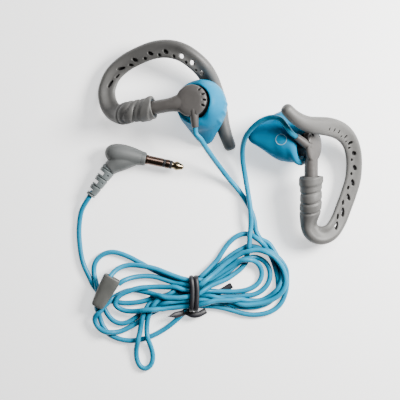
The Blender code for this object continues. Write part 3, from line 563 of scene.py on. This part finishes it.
def settle(routes, held):
    """Presses crossing strands apart until they lie on each other instead of through.

    Each point is drawn to its own place in plan, sinks under its weight, and is pushed
    off every point of another stretch that is nearer than a cord's diameter. The points
    that count as held stay where they are, and the hank's waist stays inside the tie.
    """
    place = np.concatenate([np.array([tuple(p) for p in route]) for route in routes])
    home = place.copy()
    count = len(place)
    ends = np.cumsum([len(route) for route in routes])
    cord_of = np.searchsorted(ends, np.arange(count), side="right")
    fixed = np.concatenate(held)
    inner = np.ones(count, bool)
    inner[[0, *ends[:-1], *(ends - 1)]] = False
    apart = 2.0 * CORD_RADIUS + STRAND_GAP
    order = np.arange(count)
    same_cord = cord_of[:, None] == cord_of[None, :]
    near_kin = same_cord & (abs(order[:, None] - order[None, :]) < KIN)
    upper = np.triu(~near_kin, 1)
    from_waist = abs(home[:, 0] - WAIST[0])
    in_hank = home[:, 1] < HANK_START
    bare = CORD_RADIUS + FLOOR_GAP
    over_tie = bare + TIE_LIFT * np.clip(1.3 - from_waist / TIE_LIFT_REACH, 0.0, 1.0)
    floor = np.where(in_hank, over_tie, bare)
    tied = (from_waist < TIE_REACH) & in_hank
    for _ in range(SETTLE_ROUNDS):
        middle = 0.5 * (place[:-2] + place[2:]) - place[1:-1]
        pull = np.zeros_like(place)
        pull[1:-1] = middle * STRAIGHTEN
        place[inner] += pull[inner]
        place[:, :2] += (home[:, :2] - place[:, :2]) * HOMING
        place[:, 2] -= SINK
        for _ in range(2):
            gap = place[:, None, :] - place[None, :, :]
            distance = np.sqrt((gap**2).sum(axis=2))
            first, second = np.nonzero(upper & (distance < apart))
            away = gap[first, second]
            size = np.maximum(distance[first, second], 1e-6)
            away = away / size[:, None] * ((apart - size) * 0.5)[:, None] * PUSH
            push = np.zeros_like(place)
            hits = np.zeros(count)
            np.add.at(push, first, away)
            np.add.at(push, second, -away)
            np.add.at(hits, first, 1)
            np.add.at(hits, second, 1)
            place += push / np.maximum(1.0, hits * CROWDING)[:, None]
            place[:, 2] = np.maximum(place[:, 2], floor)
            place[fixed] = home[fixed]
            place[tied, 2] = np.minimum(place[tied, 2], TIE_TOP - CORD_RADIUS - 0.1)
            place[tied, 1] = np.clip(place[tied, 1], WAIST[1] - WAIST_ROOM, WAIST[1] + WAIST_ROOM)
    return [[Vector(p) for p in place[a:b]] for a, b in zip([0, *ends[:-1]], ends)]


def make_cord(name, route, nodes):
    """A cord as one curve."""
    curve = bpy.data.curves.new(name, "CURVE")
    curve.dimensions = "3D"
    curve.bevel_depth = CORD_RADIUS * METRES
    curve.bevel_resolution = 6
    curve.use_fill_caps = True
    spline = curve.splines.new("POLY")
    spline.points.add(len(route) - 1)
    for target, point in zip(spline.points, route):
        target.co = (*(point * METRES), 1.0)
    curve.materials.append(finishes["cord_blue"])
    cord = shown(name, curve)
    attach(cord, ROOT)
    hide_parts(*nodes)


def cord_routes():
    """The three cords' settled middle lines: right and left earpiece cords, then the plug's."""
    way = (Vector(SPLIT_BOTTOM) - Vector(SPLIT_TOP)).normalized()
    plug_way = (RELIEF_END - RELIEF_START).normalized()
    plug_exit = [RELIEF_END + plug_way * reach for reach in (0.5, -2.0)]
    routes = [
        [*lead_start(SIDES["right"]), *RIGHT_LEAD, *RIGHT_HANK],
        [*lead_start(SIDES["left"]), *LEFT_LEAD, *LEFT_HANK],
        [Vector(SPLIT_BOTTOM) - way * 2.0, *MAIN_HANK, *PLUG_LEAD[::-1], *plug_exit],
    ]
    routes = [smooth_route(route, ROUTE_STEP) for route in routes]
    held = []
    for route in routes:
        in_lead = [p.y > LEAD_END and (p.z > 1.3 or p.x < -50.0) for p in route]
        in_sleeve = [min(i, len(route) - 1 - i) < 3 for i in range(len(route))]
        held.append(np.array(in_lead) | np.array(in_sleeve))
    return settle(routes, held)


# ---- Materials

PLAIN = {}
METAL = {"Metallic": 1.0}
RUBBERY = {"Specular IOR Level": 0.22}
SILKY = {"Specular IOR Level": 0.035}
# Each finish: its two colours, its middle roughness, the noise cells per metre of its patches
# and of its grain, the grain's depth in metres, and further sockets of the shader.
FINISHES = {
    "hook_rubber": ((0.07, 0.069, 0.067), (0.092, 0.091, 0.088), 0.52, 90, 9000, 1.2e-5, PLAIN),
    "housing_grey": ((0.054, 0.05, 0.048), (0.078, 0.073, 0.07), 0.44, 120, 7000, 6e-6, PLAIN),
    "tip_silicone": ((0.0004, 0.16, 0.31), (0.0006, 0.215, 0.395), 0.36, 70, 6000, 6e-6, SILKY),
    "emblem": ((0.20, 0.34, 0.42), (0.26, 0.42, 0.50), 0.4, 70, 6000, 2e-6, PLAIN),
    "cord_blue": ((0.001, 0.185, 0.325), (0.002, 0.245, 0.41), 0.34, 160, 5200, 8e-6, RUBBERY),
    "plug_grey": ((0.075, 0.08, 0.08), (0.098, 0.104, 0.104), 0.5, 140, 8000, 1e-5, PLAIN),
    "relief_grey": ((0.10, 0.118, 0.12), (0.13, 0.15, 0.153), 0.5, 140, 8000, 1e-5, PLAIN),
    "sleeve_grey": ((0.064, 0.066, 0.062), (0.098, 0.10, 0.094), 0.5, 140, 8000, 1e-5, PLAIN),
    "contact_metal": ((0.10, 0.062, 0.048), (0.13, 0.085, 0.066), 0.25, 300, 12000, 4e-7, METAL),
    "tip_metal": ((0.20, 0.15, 0.085), (0.26, 0.20, 0.12), 0.24, 300, 12000, 4e-7, METAL),
    "black_plastic": ((0.008, 0.008, 0.009), (0.016, 0.016, 0.018), 0.42, 200, 9000, 8e-6, PLAIN),
    "tie_black": ((0.005, 0.005, 0.008), (0.011, 0.011, 0.016), 0.52, 300, 9000, 8e-6, PLAIN),
    "steel": ((0.45, 0.45, 0.46), (0.58, 0.58, 0.60), 0.32, 300, 9000, 4e-6, METAL),
    "magnet": ((0.30, 0.30, 0.32), (0.40, 0.40, 0.43), 0.28, 300, 9000, 4e-6, METAL),
    "copper": ((0.62, 0.27, 0.13), (0.78, 0.37, 0.19), 0.3, 600, 20000, 8e-6, METAL),
    "film": ((0.60, 0.60, 0.56), (0.74, 0.74, 0.70), 0.28, 200, 9000, 4e-6, PLAIN),
    "board_green": ((0.015, 0.16, 0.06), (0.03, 0.24, 0.10), 0.4, 400, 14000, 8e-6, PLAIN),
    "foam": ((0.03, 0.03, 0.03), (0.06, 0.06, 0.06), 0.9, 900, 16000, 6e-5, PLAIN),
}
# How far the painted shade in hollows reaches in metres, how dark it paints them, and the
# roughness's spread.
PAINTED_SHADE_REACH = 0.0035
PAINTED_SHADE_DARKEST = 0.42
GLOSS_SPREAD = 0.07


def fill(node, values):
    """Sets some of a node's sockets."""
    for socket, value in values.items():
        node.inputs[socket].default_value = value


def surface(name, low, high, rough, patch, grain, height, extra):
    """A finish that drifts between two colours, with painted shade that darkens it in hollows and
    creases, and a fine grain.
    """
    made = bpy.data.materials.new(name)
    made.use_nodes = True
    nodes, link = made.node_tree.nodes, made.node_tree.links.new
    shader = nodes["Principled BSDF"]
    place = nodes.new("ShaderNodeTexCoord")

    def noise(scale, detail):
        made_noise = nodes.new("ShaderNodeTexNoise")
        fill(made_noise, {"Scale": scale, "Detail": detail})
        link(place.outputs["Object"], made_noise.inputs["Vector"])
        return made_noise.outputs["Fac"]

    broad, fine = noise(patch, 3.0), noise(grain, 4.0)
    ramp = nodes.new("ShaderNodeValToRGB")
    ramp.color_ramp.elements[0].position = 0.3
    ramp.color_ramp.elements[0].color = (*low, 1.0)
    ramp.color_ramp.elements[1].position = 0.7
    ramp.color_ramp.elements[1].color = (*high, 1.0)
    link(broad, ramp.inputs["Fac"])
    # Painted shade: ambient occlusion darkens the colour in hollows, creases and between parts.
    painted_shade_ao = nodes.new("ShaderNodeAmbientOcclusion")
    painted_shade_ao.inputs["Distance"].default_value = PAINTED_SHADE_REACH
    painted_shade_ao.samples = 8
    shade = nodes.new("ShaderNodeMapRange")
    fill(shade, {"From Min": 0.15, "From Max": 0.85, "To Min": PAINTED_SHADE_DARKEST, "To Max": 1.0})
    link(painted_shade_ao.outputs["AO"], shade.inputs["Value"])
    painted_shade_colour = nodes.new("ShaderNodeVectorMath")
    painted_shade_colour.operation = "SCALE"
    link(ramp.outputs["Color"], painted_shade_colour.inputs[0])
    link(shade.outputs["Result"], painted_shade_colour.inputs["Scale"])
    link(painted_shade_colour.outputs["Vector"], shader.inputs["Base Color"])
    gloss = nodes.new("ShaderNodeMapRange")
    fill(gloss, {"To Min": rough - GLOSS_SPREAD, "To Max": rough + GLOSS_SPREAD})
    link(fine, gloss.inputs["Value"])
    link(gloss.outputs["Result"], shader.inputs["Roughness"])
    bump = nodes.new("ShaderNodeBump")
    fill(bump, {"Strength": 0.6, "Distance": height})
    link(fine, bump.inputs["Height"])
    link(bump.outputs["Normal"], shader.inputs["Normal"])
    fill(shader, extra)
    return made


finishes = {name: surface(name, *facts) for name, facts in FINISHES.items()}


# ---- Earpieces

CAP_PROFILE = (
    (2.0, 0.55), (3.6, 0.48), (4.8, 0.3), (5.6, 0.05), (CAP_RADIUS, -0.45),
    (CAP_RADIUS, -1.2), (5.7, -CAP_THICKNESS),
)
# Sections of the stem: the reach from the cap's middle, half the width, half the height, z.
STEM_SECTIONS = (
    (1.2, 4.9, 0.9, -1.0),
    (-0.9, 4.7, 1.3, -1.15),
    (-2.6, 4.2, 1.75, -1.35),
    (-4.2, 3.7, 2.05, -1.5),
    (-5.8, 3.2, 2.3, -1.6),
    (-7.6, 2.8, 2.5, -STEM_DEPTH),
    (-9.4, STEM_RADIUS, STEM_RADIUS, -STEM_DEPTH),
    (-STEM_LENGTH, STEM_RADIUS, STEM_RADIUS, -STEM_DEPTH),
)
NOTCH_LENGTH = 1.5
NOTCH_HALF_WIDTH = 0.36
RELIEF_HOLE_RADIUS = 1.9
# The soft tip's closed outline, as (depth below the cap's face, radius).
TIP_OUTLINE = (
    (5.8, 6.6), (5.3, 6.3), (4.95, 6.25), (4.8, 6.5), (4.85, 7.0), (5.4, 7.85),
    (6.2, 8.5), (7.4, 8.98), (8.8, 9.36), (10.2, 9.62), (RIM_DEPTH, 9.75), (13.2, 9.6),
    (14.4, 9.1), (15.6, 8.3), (16.8, 7.3), (18.0, 6.25), (19.2, 5.3), (20.4, 4.45),
    (21.4, 3.85), (22.2, 3.4), (NOZZLE_DEPTH, 2.9), (NOZZLE_DEPTH, 2.5), (22.2, 2.25),
    (20.6, 3.0), (18.8, 4.0), (17.0, 4.7), (15.4, 5.0), (13.8, 5.2), (12.4, 6.85),
    (9.0, 6.9), (6.9, 6.9),
)
LIP_MIDDLE = Vector((0.35, 0.0))
LIP_RISE = 2.5
LUMP_HEIGHT = 0.34
LUMP_SPREAD = 3.6


def make_cap(name, side):
    """The round cap and its stem, one moulding, with the notches in the cap's rim."""
    matrix = earpiece_matrix(side)
    across, deep = Vector((0, 1, 0)), Vector((0, 0, 1))
    cap = raw(name + "_cap", turned(CAP_PROFILE, Vector(), deep, 120, closed=False), matrix)
    rings = []
    for x, wide, thick, z in STEM_SECTIONS:
        rings.append(circle(Vector((x, 0, z)), wide, across, deep, 64, thick))
    carved(cap, loft(rings), "UNION", matrix)
    notch = box(
        (CAP_RADIUS - NOTCH_LENGTH, -NOTCH_HALF_WIDTH, -0.75), (CAP_RADIUS + 1, NOTCH_HALF_WIDTH, 2)
    )
    notch_turns = []
    for angle in NOTCH_ANGLES:
        turn = Matrix.Rotation(math.radians(-angle * side["cord_side"]), 4, "Z")
        notch_turns.append(matrix @ turn)
        carved(cap, notch, turn=matrix @ turn)
    start, end = relief_ends(side)
    behind = start - (end - start).normalized() * 0.3
    carved(cap, tube([behind, end], RELIEF_HOLE_RADIUS, 40), turn=matrix)
    softened(cap, 0.13, 4)
    finished(cap, "housing_grey", ROOT, name + "_cap_arm")
    # Black pads on the notches' floors: painted shade, so the narrow notches read dark.
    inner, outer = CAP_RADIUS - 1.45, CAP_RADIUS - 0.1
    floor = rounded([(inner, -0.95), (outer, -0.95), (outer, -0.6), (inner, -0.6)], 0.1)
    for i, turn in enumerate(notch_turns):
        ends = [[Vector((x, y, z)) for x, z in floor] for y in (-0.4, -0.2, 0.2, 0.4)]
        painted_notch_shade = raw(f"{name}_notch_{i}", loft(ends), turn)
        finished(painted_notch_shade, "black_plastic", ROOT)


def make_relief(name, side):
    """The cord's tapered strain relief, with a domed end over the cap's rim."""
    start, end = relief_ends(side)
    way = (end - start).normalized()
    length = (end - start).length
    profile = [(0.9, -1.5), (1.4, -1.3), (1.68, -0.8), (1.75, 0.0), (1.62, length * 0.35)]
    profile += [(1.42, length * 0.72), (1.3, length - 0.35), (1.22, length - 0.1), (1.05, length)]
    shape = turned(profile, start, way, 64, closed=False)
    relief = raw(name + "_relief", shape, earpiece_matrix(side))
    finished(relief, "housing_grey", ROOT, name + "_strain_relief")


def tip_centre(side, depth):
    """The soft tip's middle at a depth below the cap's face."""
    share = ease((depth - RIM_DEPTH) / (NOZZLE_DEPTH - RIM_DEPTH))
    start = Vector((BUD_CENTRE_X, 0.0))
    lift = min(1.0, max(0.0, (depth + TIP_LIP) / (RIM_DEPTH + TIP_LIP)))
    return start.lerp(Vector(side["rim"]), lift).lerp(Vector(side["nozzle"]), share)


def make_tip(name, side):
    """The soft tip: a rolled lip, a full cup with three scallops, and an offset nozzle.

    The lip runs up close under the cap on the notched side, and drops below the stem and
    the strain relief on the others.
    """
    matrix = earpiece_matrix(side)
    knots = [Vector((depth, radius, 0.0)) for depth, radius in TIP_OUTLINE]
    line = smooth_route([*knots, knots[0]], 0.3)[:-1]
    rings = []
    for row, (depth, radius, _) in enumerate(line):
        inside = row > len(line) * 0.62 or (row < 6)
        middle = tip_centre(side, depth)
        rise = 1.0 - ease((depth - 4.8) / 3.6)
        if not inside or depth < 6.8:
            middle = middle.lerp(LIP_MIDDLE, rise)
        hub = Vector((*middle, -depth))
        ring = circle(hub, radius, Vector((1, 0, 0)), Vector((0, 1, 0)), 180)
        fade = ease((depth - 7.0) / 2.0) * (1.0 - ease((depth - 12.2) / 2.5))
        for i, point in enumerate(ring):
            angle = 2.0 * i
            aim = math.cos(math.radians(angle + side["cord_side"] * 12.0))
            point.z += LIP_RISE * rise * ease(aim * 1.15)
            if radius > 8.0:
                out = (point - hub).normalized()
                point += out * LUMP_HEIGHT * fade * lump_share(side, angle)
        rings.append(ring)
    tip = raw(name + "_tip_cup", loft(rings, closed=True), matrix)
    if name in EMBLEMS:
        make_emblem(name, tip, *EMBLEMS[name])
    finished(tip, "tip_silicone", name + "_tip", name + "_ear_tip")


def lump_share(side, angle):
    """How much of a lump's height the cup's skin has at an angle round its rim."""
    share = 0.0
    for step in LUMP_ANGLES:
        off = (angle - side["cord_side"] * step + 180.0) % 360.0 - 180.0
        share += math.exp(-((off / LUMP_SPREAD) ** 2))
    return share


def make_emblem(name, tip, x, y):
    """A plain moulded ring on the cup's skin."""
    work = bmesh.new()
    work.from_mesh(tip.data)
    skin = BVHTree.FromBMesh(work)
    work.free()
    route = []
    for c, s in full_turn(96):
        above = Vector((x + EMBLEM_RADIUS * c, y + EMBLEM_RADIUS * s, 60.0))
        route.append(skin.ray_cast(above, -UP)[0])
    rings = []
    for before, point, after in zip(route[-1:] + route, route, route[1:] + route[:1]):
        along = (after - before).normalized()
        out = skin.find_nearest(point)[1]
        across = along.cross(out).normalized()
        rings.append(circle(point, EMBLEM_HALF_WIDTH, across, out, 12, EMBLEM_HEIGHT))
    ring = raw(name + "_tip_ring", loft(rings, closed=True))
    finished(ring, "emblem", name + "_tip")


# ---- Ear hooks

HOOK_SKIN = 0.17
# The free end's dome: the reach past the last section and its scale.
HOOK_END = ((0.6, 0.965), (1.15, 0.86), (1.6, 0.68), (1.88, 0.42))
LIP_HEIGHT = 0.45
GROOVE_DEPTH = 0.5


def hook_route(name, side):
    """Points of the hook's middle line from the sleeve's mouth to its free end."""
    matrix, mouth = earpiece_matrix(side), side["mouth"]
    straight = [matrix @ Vector((-mouth - d, 0, -STEM_DEPTH)) for d in (0.0, 3.5, 7.0, 10.0)]
    return smooth_route(straight + [Vector(p) for p in HOOK_ROUTES[name]], HOOK_STEP)


def hook_section(middle, side, up, size):
    """One section: a thick outer rim that thins smoothly to the web on the loop's inside."""
    half, thick, thin, roundness = size
    ring = []
    for c, y in full_turn(56):
        x = -c
        share = (x + 1.0) / 2.0
        depth = thick + (thin - thick) * ease((share - 0.22) / 0.5)
        shape = depth * (1.0 - abs(x) ** 3.2) ** (1.0 / 2.4) * math.copysign(1.0, y)
        height = shape + (half * y - shape) * roundness
        ring.append(middle - side * (x * half) + up * height)
    return ring


def make_hook(name, side):
    """The bendable hook: its grooved sleeve, its band and the holes in the band's web."""
    route = hook_route(name, side)
    along = tangents(route)
    normal = Vector(side["hook_normal"])
    total = len(route) - 1
    frames, rings = [], []
    for i, point in enumerate(route):
        run = i * HOOK_STEP
        past = ease((run - SLEEVE_LENGTH + 2.5) / 10.0)
        tail = ease((i / total - 0.64) / 0.2)
        close = ease((i / total - 0.78) / 0.24)
        half = SLEEVE_RADIUS + (BAND_WIDTH / 2 - SLEEVE_RADIUS) * past
        half += (HOOK_TIP_WIDTH / 2 - half) * close
        thick = SLEEVE_RADIUS + (BAND_THICKNESS / 2 - SLEEVE_RADIUS) * past
        thin = SLEEVE_RADIUS + (WEB_THICKNESS / 2 - SLEEVE_RADIUS) * past
        thin += (BAND_THICKNESS / 2 - thin) * tail
        across = normal.cross(along[i]).normalized()
        up = along[i].cross(across).normalized()
        frames.append((point, along[i], across, up))
        size = (half, thick, thin, max(1.0 - past, 0.85 * close))
        ring = hook_section(point, across, up, size)
        if run < SLEEVE_LENGTH + 4.0:
            ring = [grooved(p, point, run, side, across) for p in ring]
        rings.append(ring)
    end, out = route[-1], along[-1]
    for reach, scale in HOOK_END:
        rings.append([end + out * reach + (p - end) * scale for p in rings[total]])
    hook = raw(name + "_hook_band", loft(rings))
    reaches = (-side["mouth"] + 1.0, -side["mouth"] - SOCKET_LENGTH)
    bore = [Vector((reach, 0, -STEM_DEPTH)) for reach in reaches]
    carved(hook, tube(bore, SOCKET_RADIUS, 64), turn=earpiece_matrix(side))
    softened(hook, HOOK_SKIN, 1)
    carved(hook, hook_holes(side, frames))
    softened(hook, HOOK_SKIN, 2)
    finished(hook, "hook_rubber", name + "_hook", name + "_ear_hook")


def grooved(point, middle, run, side, across):
    """A sleeve point moved out to the mouth's lip or in to one of the slanted grooves."""
    outward = point - middle
    lean = run - side["lean"] * outward.dot(across)
    move = LIP_HEIGHT * ease(lean / 0.5 + 0.6) * (1.0 - ease((lean - side["lip"]) / 0.9))
    for groove in side["grooves"]:
        past = lean - groove
        move -= GROOVE_DEPTH * math.exp(-((past / (0.26 if past < 0 else 0.5)) ** 2))
    return point + outward.normalized() * move


def hook_holes(side, frames):
    """The two rows of slanted slots in the web; those past "blind" go right through."""
    tools = []
    for run, inset, length, width, slant in side["slots"]:
        point, along, across, up = frames[round(run / HOOK_STEP)]
        if up.z < 0:
            up = -up
        turn = Matrix.Rotation(math.radians(slant), 3, up)
        low = -4.0 if run > side["blind"] and length > 1.9 else -0.35
        rings = []
        for height in (4.0, low):
            centre = point - across * inset + up * height
            rings.append(circle(centre, length / 2, turn @ along, turn @ across, 28, width / 2))
        tools.append(loft(rings))
    return joined(tools)


# ---- Plug

PLUG_FACE = Vector((-32.5, -6.6, JACK_HEIGHT))
PLUG_ALONG = Vector((14.5, -3.1, 0.0)).normalized()
# The body's two limbs, as (x, y, radius): from the jack to the bulb, then to the relief.
PLUG_LIMBS = (
    (
        (-32.5, -6.6, 2.55), (-33.6, -6.37, 2.72), (-35.2, -6.0, 3.0), (-38.0, -5.4, 3.55),
        (-41.2, -4.8, 3.95), (-44.0, -4.4, 3.9), (-46.0, -4.2, 3.4), (-47.4, -4.15, 2.5),
        (-48.1, -4.15, 1.5), (-48.4, -4.15, 0.6),
    ),
    (
        (-36.0, -6.6, 2.2), (-38.5, -6.9, 2.9), (-41.0, -7.4, 3.35), (-43.2, -8.1, 3.4),
        (-45.0, -9.0, 3.15), (-46.7, -10.2, 2.85),
    ),
)
PLUG_SEAM = ((3.4, -2.0), (3.4, -1.72), (2.62, -1.72), (2.62, -2.0))
COLLAR_ROOM = 2.2
PIN_ROOM = 1.1
CORE_RADIUS = 0.95
INSULATOR_RADIUS = 1.66


def collar(outer, low, high):
    """The outline of a plain turned ring on the jack's core."""
    return (CORE_RADIUS, low), (outer, low), (outer, high), (CORE_RADIUS, high)


# The jack's turned contacts by CAD node: the finish and the (radius, reach) outline.
CONTACTS = {
    "jack_sleeve": (
        "contact_metal",
        ((CORE_RADIUS, -0.2), (1.9, -0.2), (1.9, 0.9), (JACK_RADIUS, 0.95),
         (JACK_RADIUS, 6.6), (CORE_RADIUS, 6.6)),
    ),
    "jack_insulator_sleeve": ("black_plastic", collar(INSULATOR_RADIUS, 6.63, 7.67)),
    "jack_ring": ("contact_metal", collar(JACK_RADIUS, 7.7, 9.2)),
    "jack_insulator_ring": ("black_plastic", collar(INSULATOR_RADIUS, 9.23, 10.27)),
    "jack_tip": (
        "tip_metal",
        ((CORE_RADIUS, 10.3), (1.5, 10.3), (1.28, 10.6), (1.3, 10.95), (1.6, 11.5),
         (JACK_RADIUS, 12.0), (1.7, 12.4), (1.4, 13.2), (1.05, 14.2), (0.92, 14.5),
         (0.78, 14.6), (0.75, 12.0), (CORE_RADIUS, 12.0)),
    ),
}


def plug_limb(sections):
    """One limb of the plug's body, round all the way."""
    fine = smooth_route(sections, 0.5)
    route = [Vector((x, y, JACK_HEIGHT)) for x, y, _ in fine]
    rings = []
    for (_, _, radius), point, way in zip(fine, route, tangents(route)):
        across = way.cross(UP).normalized()
        rings.append(circle(point, radius, across, across.cross(way), 56))
    return loft(rings)


def make_plug():
    """The angled plug body with its bulb, the jack's contacts and the slotted relief."""
    first, second = PLUG_LIMBS
    body = raw("plug_shell", plug_limb(first))
    carved(body, plug_limb(second), "UNION")
    softened(body, 0.2, 14)
    outside = PLUG_FACE + PLUG_ALONG
    carved(body, tube([outside, PLUG_FACE - PLUG_ALONG * 0.5], COLLAR_ROOM, 48))
    carved(body, tube([outside, PLUG_FACE - PLUG_ALONG * 4.0], PIN_ROOM, 32))
    carved(body, turned(PLUG_SEAM, PLUG_FACE, PLUG_ALONG, 64))
    softened(body, 0.15, 2)
    pieces = [finished(body, "plug_grey", ROOT, "plug_body")]
    for node, (finish, outline) in CONTACTS.items():
        shape = turned(rounded(outline, 0.12), PLUG_FACE, PLUG_ALONG, 72)
        part = raw(node + "_turned", shape)
        pieces.append(finished(part, finish, ROOT, node))
    pieces.append(make_plug_relief())
    return pieces


def make_plug_relief():
    """The tapered relief: three deep slots on one side, fine grooves round it, and pits."""
    way = (RELIEF_END - RELIEF_START).normalized()
    across = way.cross(UP).normalized()
    length = (RELIEF_END - RELIEF_START).length
    profile = [(0.8, -0.9), (2.3, -0.9), (2.75, -0.4)]
    for groove in RELIEF_GROOVES:
        radius = 2.95 - 0.085 * groove
        profile += [(radius, groove - 0.25), (radius - 0.42, groove - 0.1)]
        profile += [(radius - 0.42, groove + 0.12), (radius - 0.02, groove + 0.3)]
    profile += [(1.9, length - 0.35), (1.7, length - 0.05), (1.2, length)]
    relief = raw("plug_relief_blocks", turned(profile, RELIEF_START, way, 72, closed=False))
    cuts = []
    corners = ((-0.7, -5), (0.7, -5), (0.7, 5), (-0.7, 5))
    for slot in RELIEF_SLOTS:
        rings = []
        for reach in (0.35, 5.0):
            centre = RELIEF_START + way * slot + across * reach
            rings.append([centre + way * x + UP * y for x, y in corners])
        cuts.append(loft(rings))
    for reach, off in RELIEF_PITS:
        centre = RELIEF_START + way * reach + across * off
        heights = (5.0, 1.5 + 0.05 * reach)
        rings = [circle(centre + UP * high, 0.3, way, across, 20) for high in heights]
        cuts.append(loft(rings))
    carved(relief, joined(cuts))
    softened(relief, 0.12, 2)
    return finished(relief, "relief_grey", ROOT, "plug_strain_relief")


# ---- Split sleeve and tie

SPLIT_LENGTH = 12.9
# The split sleeve's sections: the share of its length, half the width, half the thickness.
SPLIT_SECTIONS = (
    (0.035, 2.4, 0.95), (-0.012, 2.75, 1.3), (-0.02, 3.05, 1.55), (0.0, 3.35, 1.8),
    (0.035, 3.5, 1.93), (0.2, 3.45, 1.98), (0.5, 3.15, 1.92), (0.8, 2.75, 1.8),
    (0.93, 2.5, 1.68), (0.99, 2.2, 1.45), (1.005, 1.7, 1.2), (0.97, 1.25, 1.1),
)
TIE_BOTTOM = 0.9
TIE_WIDTH = 3.6
TIE_THICKNESS = 0.75
TAIL_WIDTH = 2.3
TAIL_THICKNESS = 0.8
TAILS = {
    "tie_twist": (
        (-17.6, -64.6, 1.6), (-16.6, -65.9, 2.3), (-14.6, -66.8, 2.7),
        (-12.4, -66.7, 2.4), (-10.6, -65.9, 1.8), (-9.6, -65.4, 1.2),
    ),
    "tie_tail": (
        (-14.4, -65.6, 1.5), (-16.6, -65.6, 1.8), (-19.0, -66.3, 2.6),
        (-21.4, -66.8, 3.6), (-24.2, -67.3, 4.6),
    ),
    "tie_end": (
        (-13.6, -60.8, 0.62), (-8.0, -59.6, 0.5), (-3.0, -57.6, 0.5),
        (-0.6, -56.2, 0.5), (0.7, -55.4, 0.5),
    ),
}


def make_split():
    """The flat tapered sleeve where the plug's cord divides in two."""
    top, bottom = Vector(SPLIT_TOP), Vector(SPLIT_BOTTOM)
    way = (bottom - top).normalized()
    across = way.cross(UP).normalized()
    normal = across.cross(way)
    knots = [(share * SPLIT_LENGTH, wide, thick) for share, wide, thick in SPLIT_SECTIONS]
    rings = []
    for reach, wide, thick in smooth_route(knots, 0.25):
        rings.append(oval(top + way * reach, across, normal, wide, thick))
    split = raw("cord_split_sleeve", loft(rings))
    return finished(split, "sleeve_grey", ROOT, "cord_split")


def oval(centre, across, normal, wide, thick):
    """A rounded-rectangle ring."""
    ring = []
    for x, y in full_turn(72):
        grow = (abs(x) ** 2.6 + abs(y) ** 2.6) ** (-1.0 / 2.6)
        ring.append(centre + across * (wide * grow * x) + normal * (thick * grow * y))
    return ring


def ribbon(name, route, ways, wide, thick, closed, ridges):
    """A flat strip with rounded ridges, from points and outward directions."""
    outline = []
    for i in range(25):
        share = i / 24.0
        ridge = abs(math.sin(ridges * math.pi * share)) ** 0.6
        outline.append((wide * (share - 0.5), thick * (0.35 + 0.65 * ridge)))
    outline += [(wide * 0.5, 0.0), (-wide * 0.5, 0.0)]
    rings = []
    count = len(route)
    for i, (point, out) in enumerate(zip(route, ways)):
        before = route[i - 1] if closed or i else route[i]
        after = route[(i + 1) % count] if closed or i < count - 1 else route[i]
        way = (after - before).normalized()
        across = way.cross(out).normalized()
        lift = across.cross(way).normalized()
        rings.append([point + across * x + lift * y for x, y in outline])
    strip = raw(name, loft(rings, closed))
    return finished(strip, "tie_black", ROOT)


def make_tie():
    """The ribbed twist tie round the waist, its pointed tail and its square end."""
    x, y = WAIST
    reach = WAIST_HALF_WIDTH + 0.15
    knots = []
    for c, s in full_turn(64):
        grow = (abs(c) ** 4 + abs(s) ** 4) ** (-0.25)
        bow = 0.5 * (1.0 - (c * grow) ** 2) * (1.0 if s > 0 else 0.2)
        height = (TIE_TOP + TIE_BOTTOM) / 2 + (TIE_TOP - TIE_BOTTOM) / 2 * s * grow
        knots.append(Vector((x + 0.3 + bow, y + reach * c * grow, height)))
    ways = []
    for i in range(64):
        way = (knots[(i + 1) % 64] - knots[i - 1]).normalized()
        ways.append(way.cross(Vector((1, 0, 0))).normalized())
    if ways[16].z < 0:
        ways = [-way for way in ways]
    band = ribbon("cord_tie_band", knots, ways, TIE_WIDTH, TIE_THICKNESS, True, 2)
    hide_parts("cord_tie")
    pieces = [band]
    for name, points in TAILS.items():
        route = smooth_route(points, 0.3)
        ways = [UP] * len(route)
        strip = ribbon(name, route, ways, TAIL_WIDTH, TAIL_THICKNESS, False, 1)
        pieces.append(strip)
        if name == "tie_tail":
            taper(strip, route[0], route[-1], 3.0)
    return pieces


def taper(strip, start, end, point_length):
    """Narrows a strip to a point over its last millimetres."""
    way = (end - start).normalized()
    for vertex in strip.data.vertices:
        place = vertex.co / METRES
        left = (end - place).dot(way)
        share = min(1.0, max(0.12, left / point_length))
        axis = start + way * (place - start).dot(way)
        vertex.co.x = (axis.x + (place.x - axis.x) * share) * METRES
        vertex.co.y = (axis.y + (place.y - axis.y) * share) * METRES


# ---- Everything


def repaint_nodes():
    """Gives each CAD solid that still shows, or that hides inside, its own finish."""
    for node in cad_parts.values():
        for place in node.material_slots:
            base = place.material.name.split(".")[0]
            if base in finishes:
                place.material = finishes[base]


def main():
    """Builds everything that the frame needs to look like the real thing."""
    make_camera()
    make_stage()
    repaint_nodes()
    right, left, plug_route = cord_routes()
    split = make_split()
    plug_pieces = [*make_plug(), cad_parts["jack_pin"], *make_tie()]
    make_cord("right_cord", right, ["cord_right_lead"])
    make_cord("left_cord", left, ["cord_left_lead"])
    hank = ["cord_hank", "cord_low_loop", "cord_plug_lead"]
    make_cord("plug_cord", plug_route, hank)
    for name, side in SIDES.items():
        make_cap(name, side)
        make_relief(name, side)
        make_tip(name, side)
        make_hook(name, side)


main()
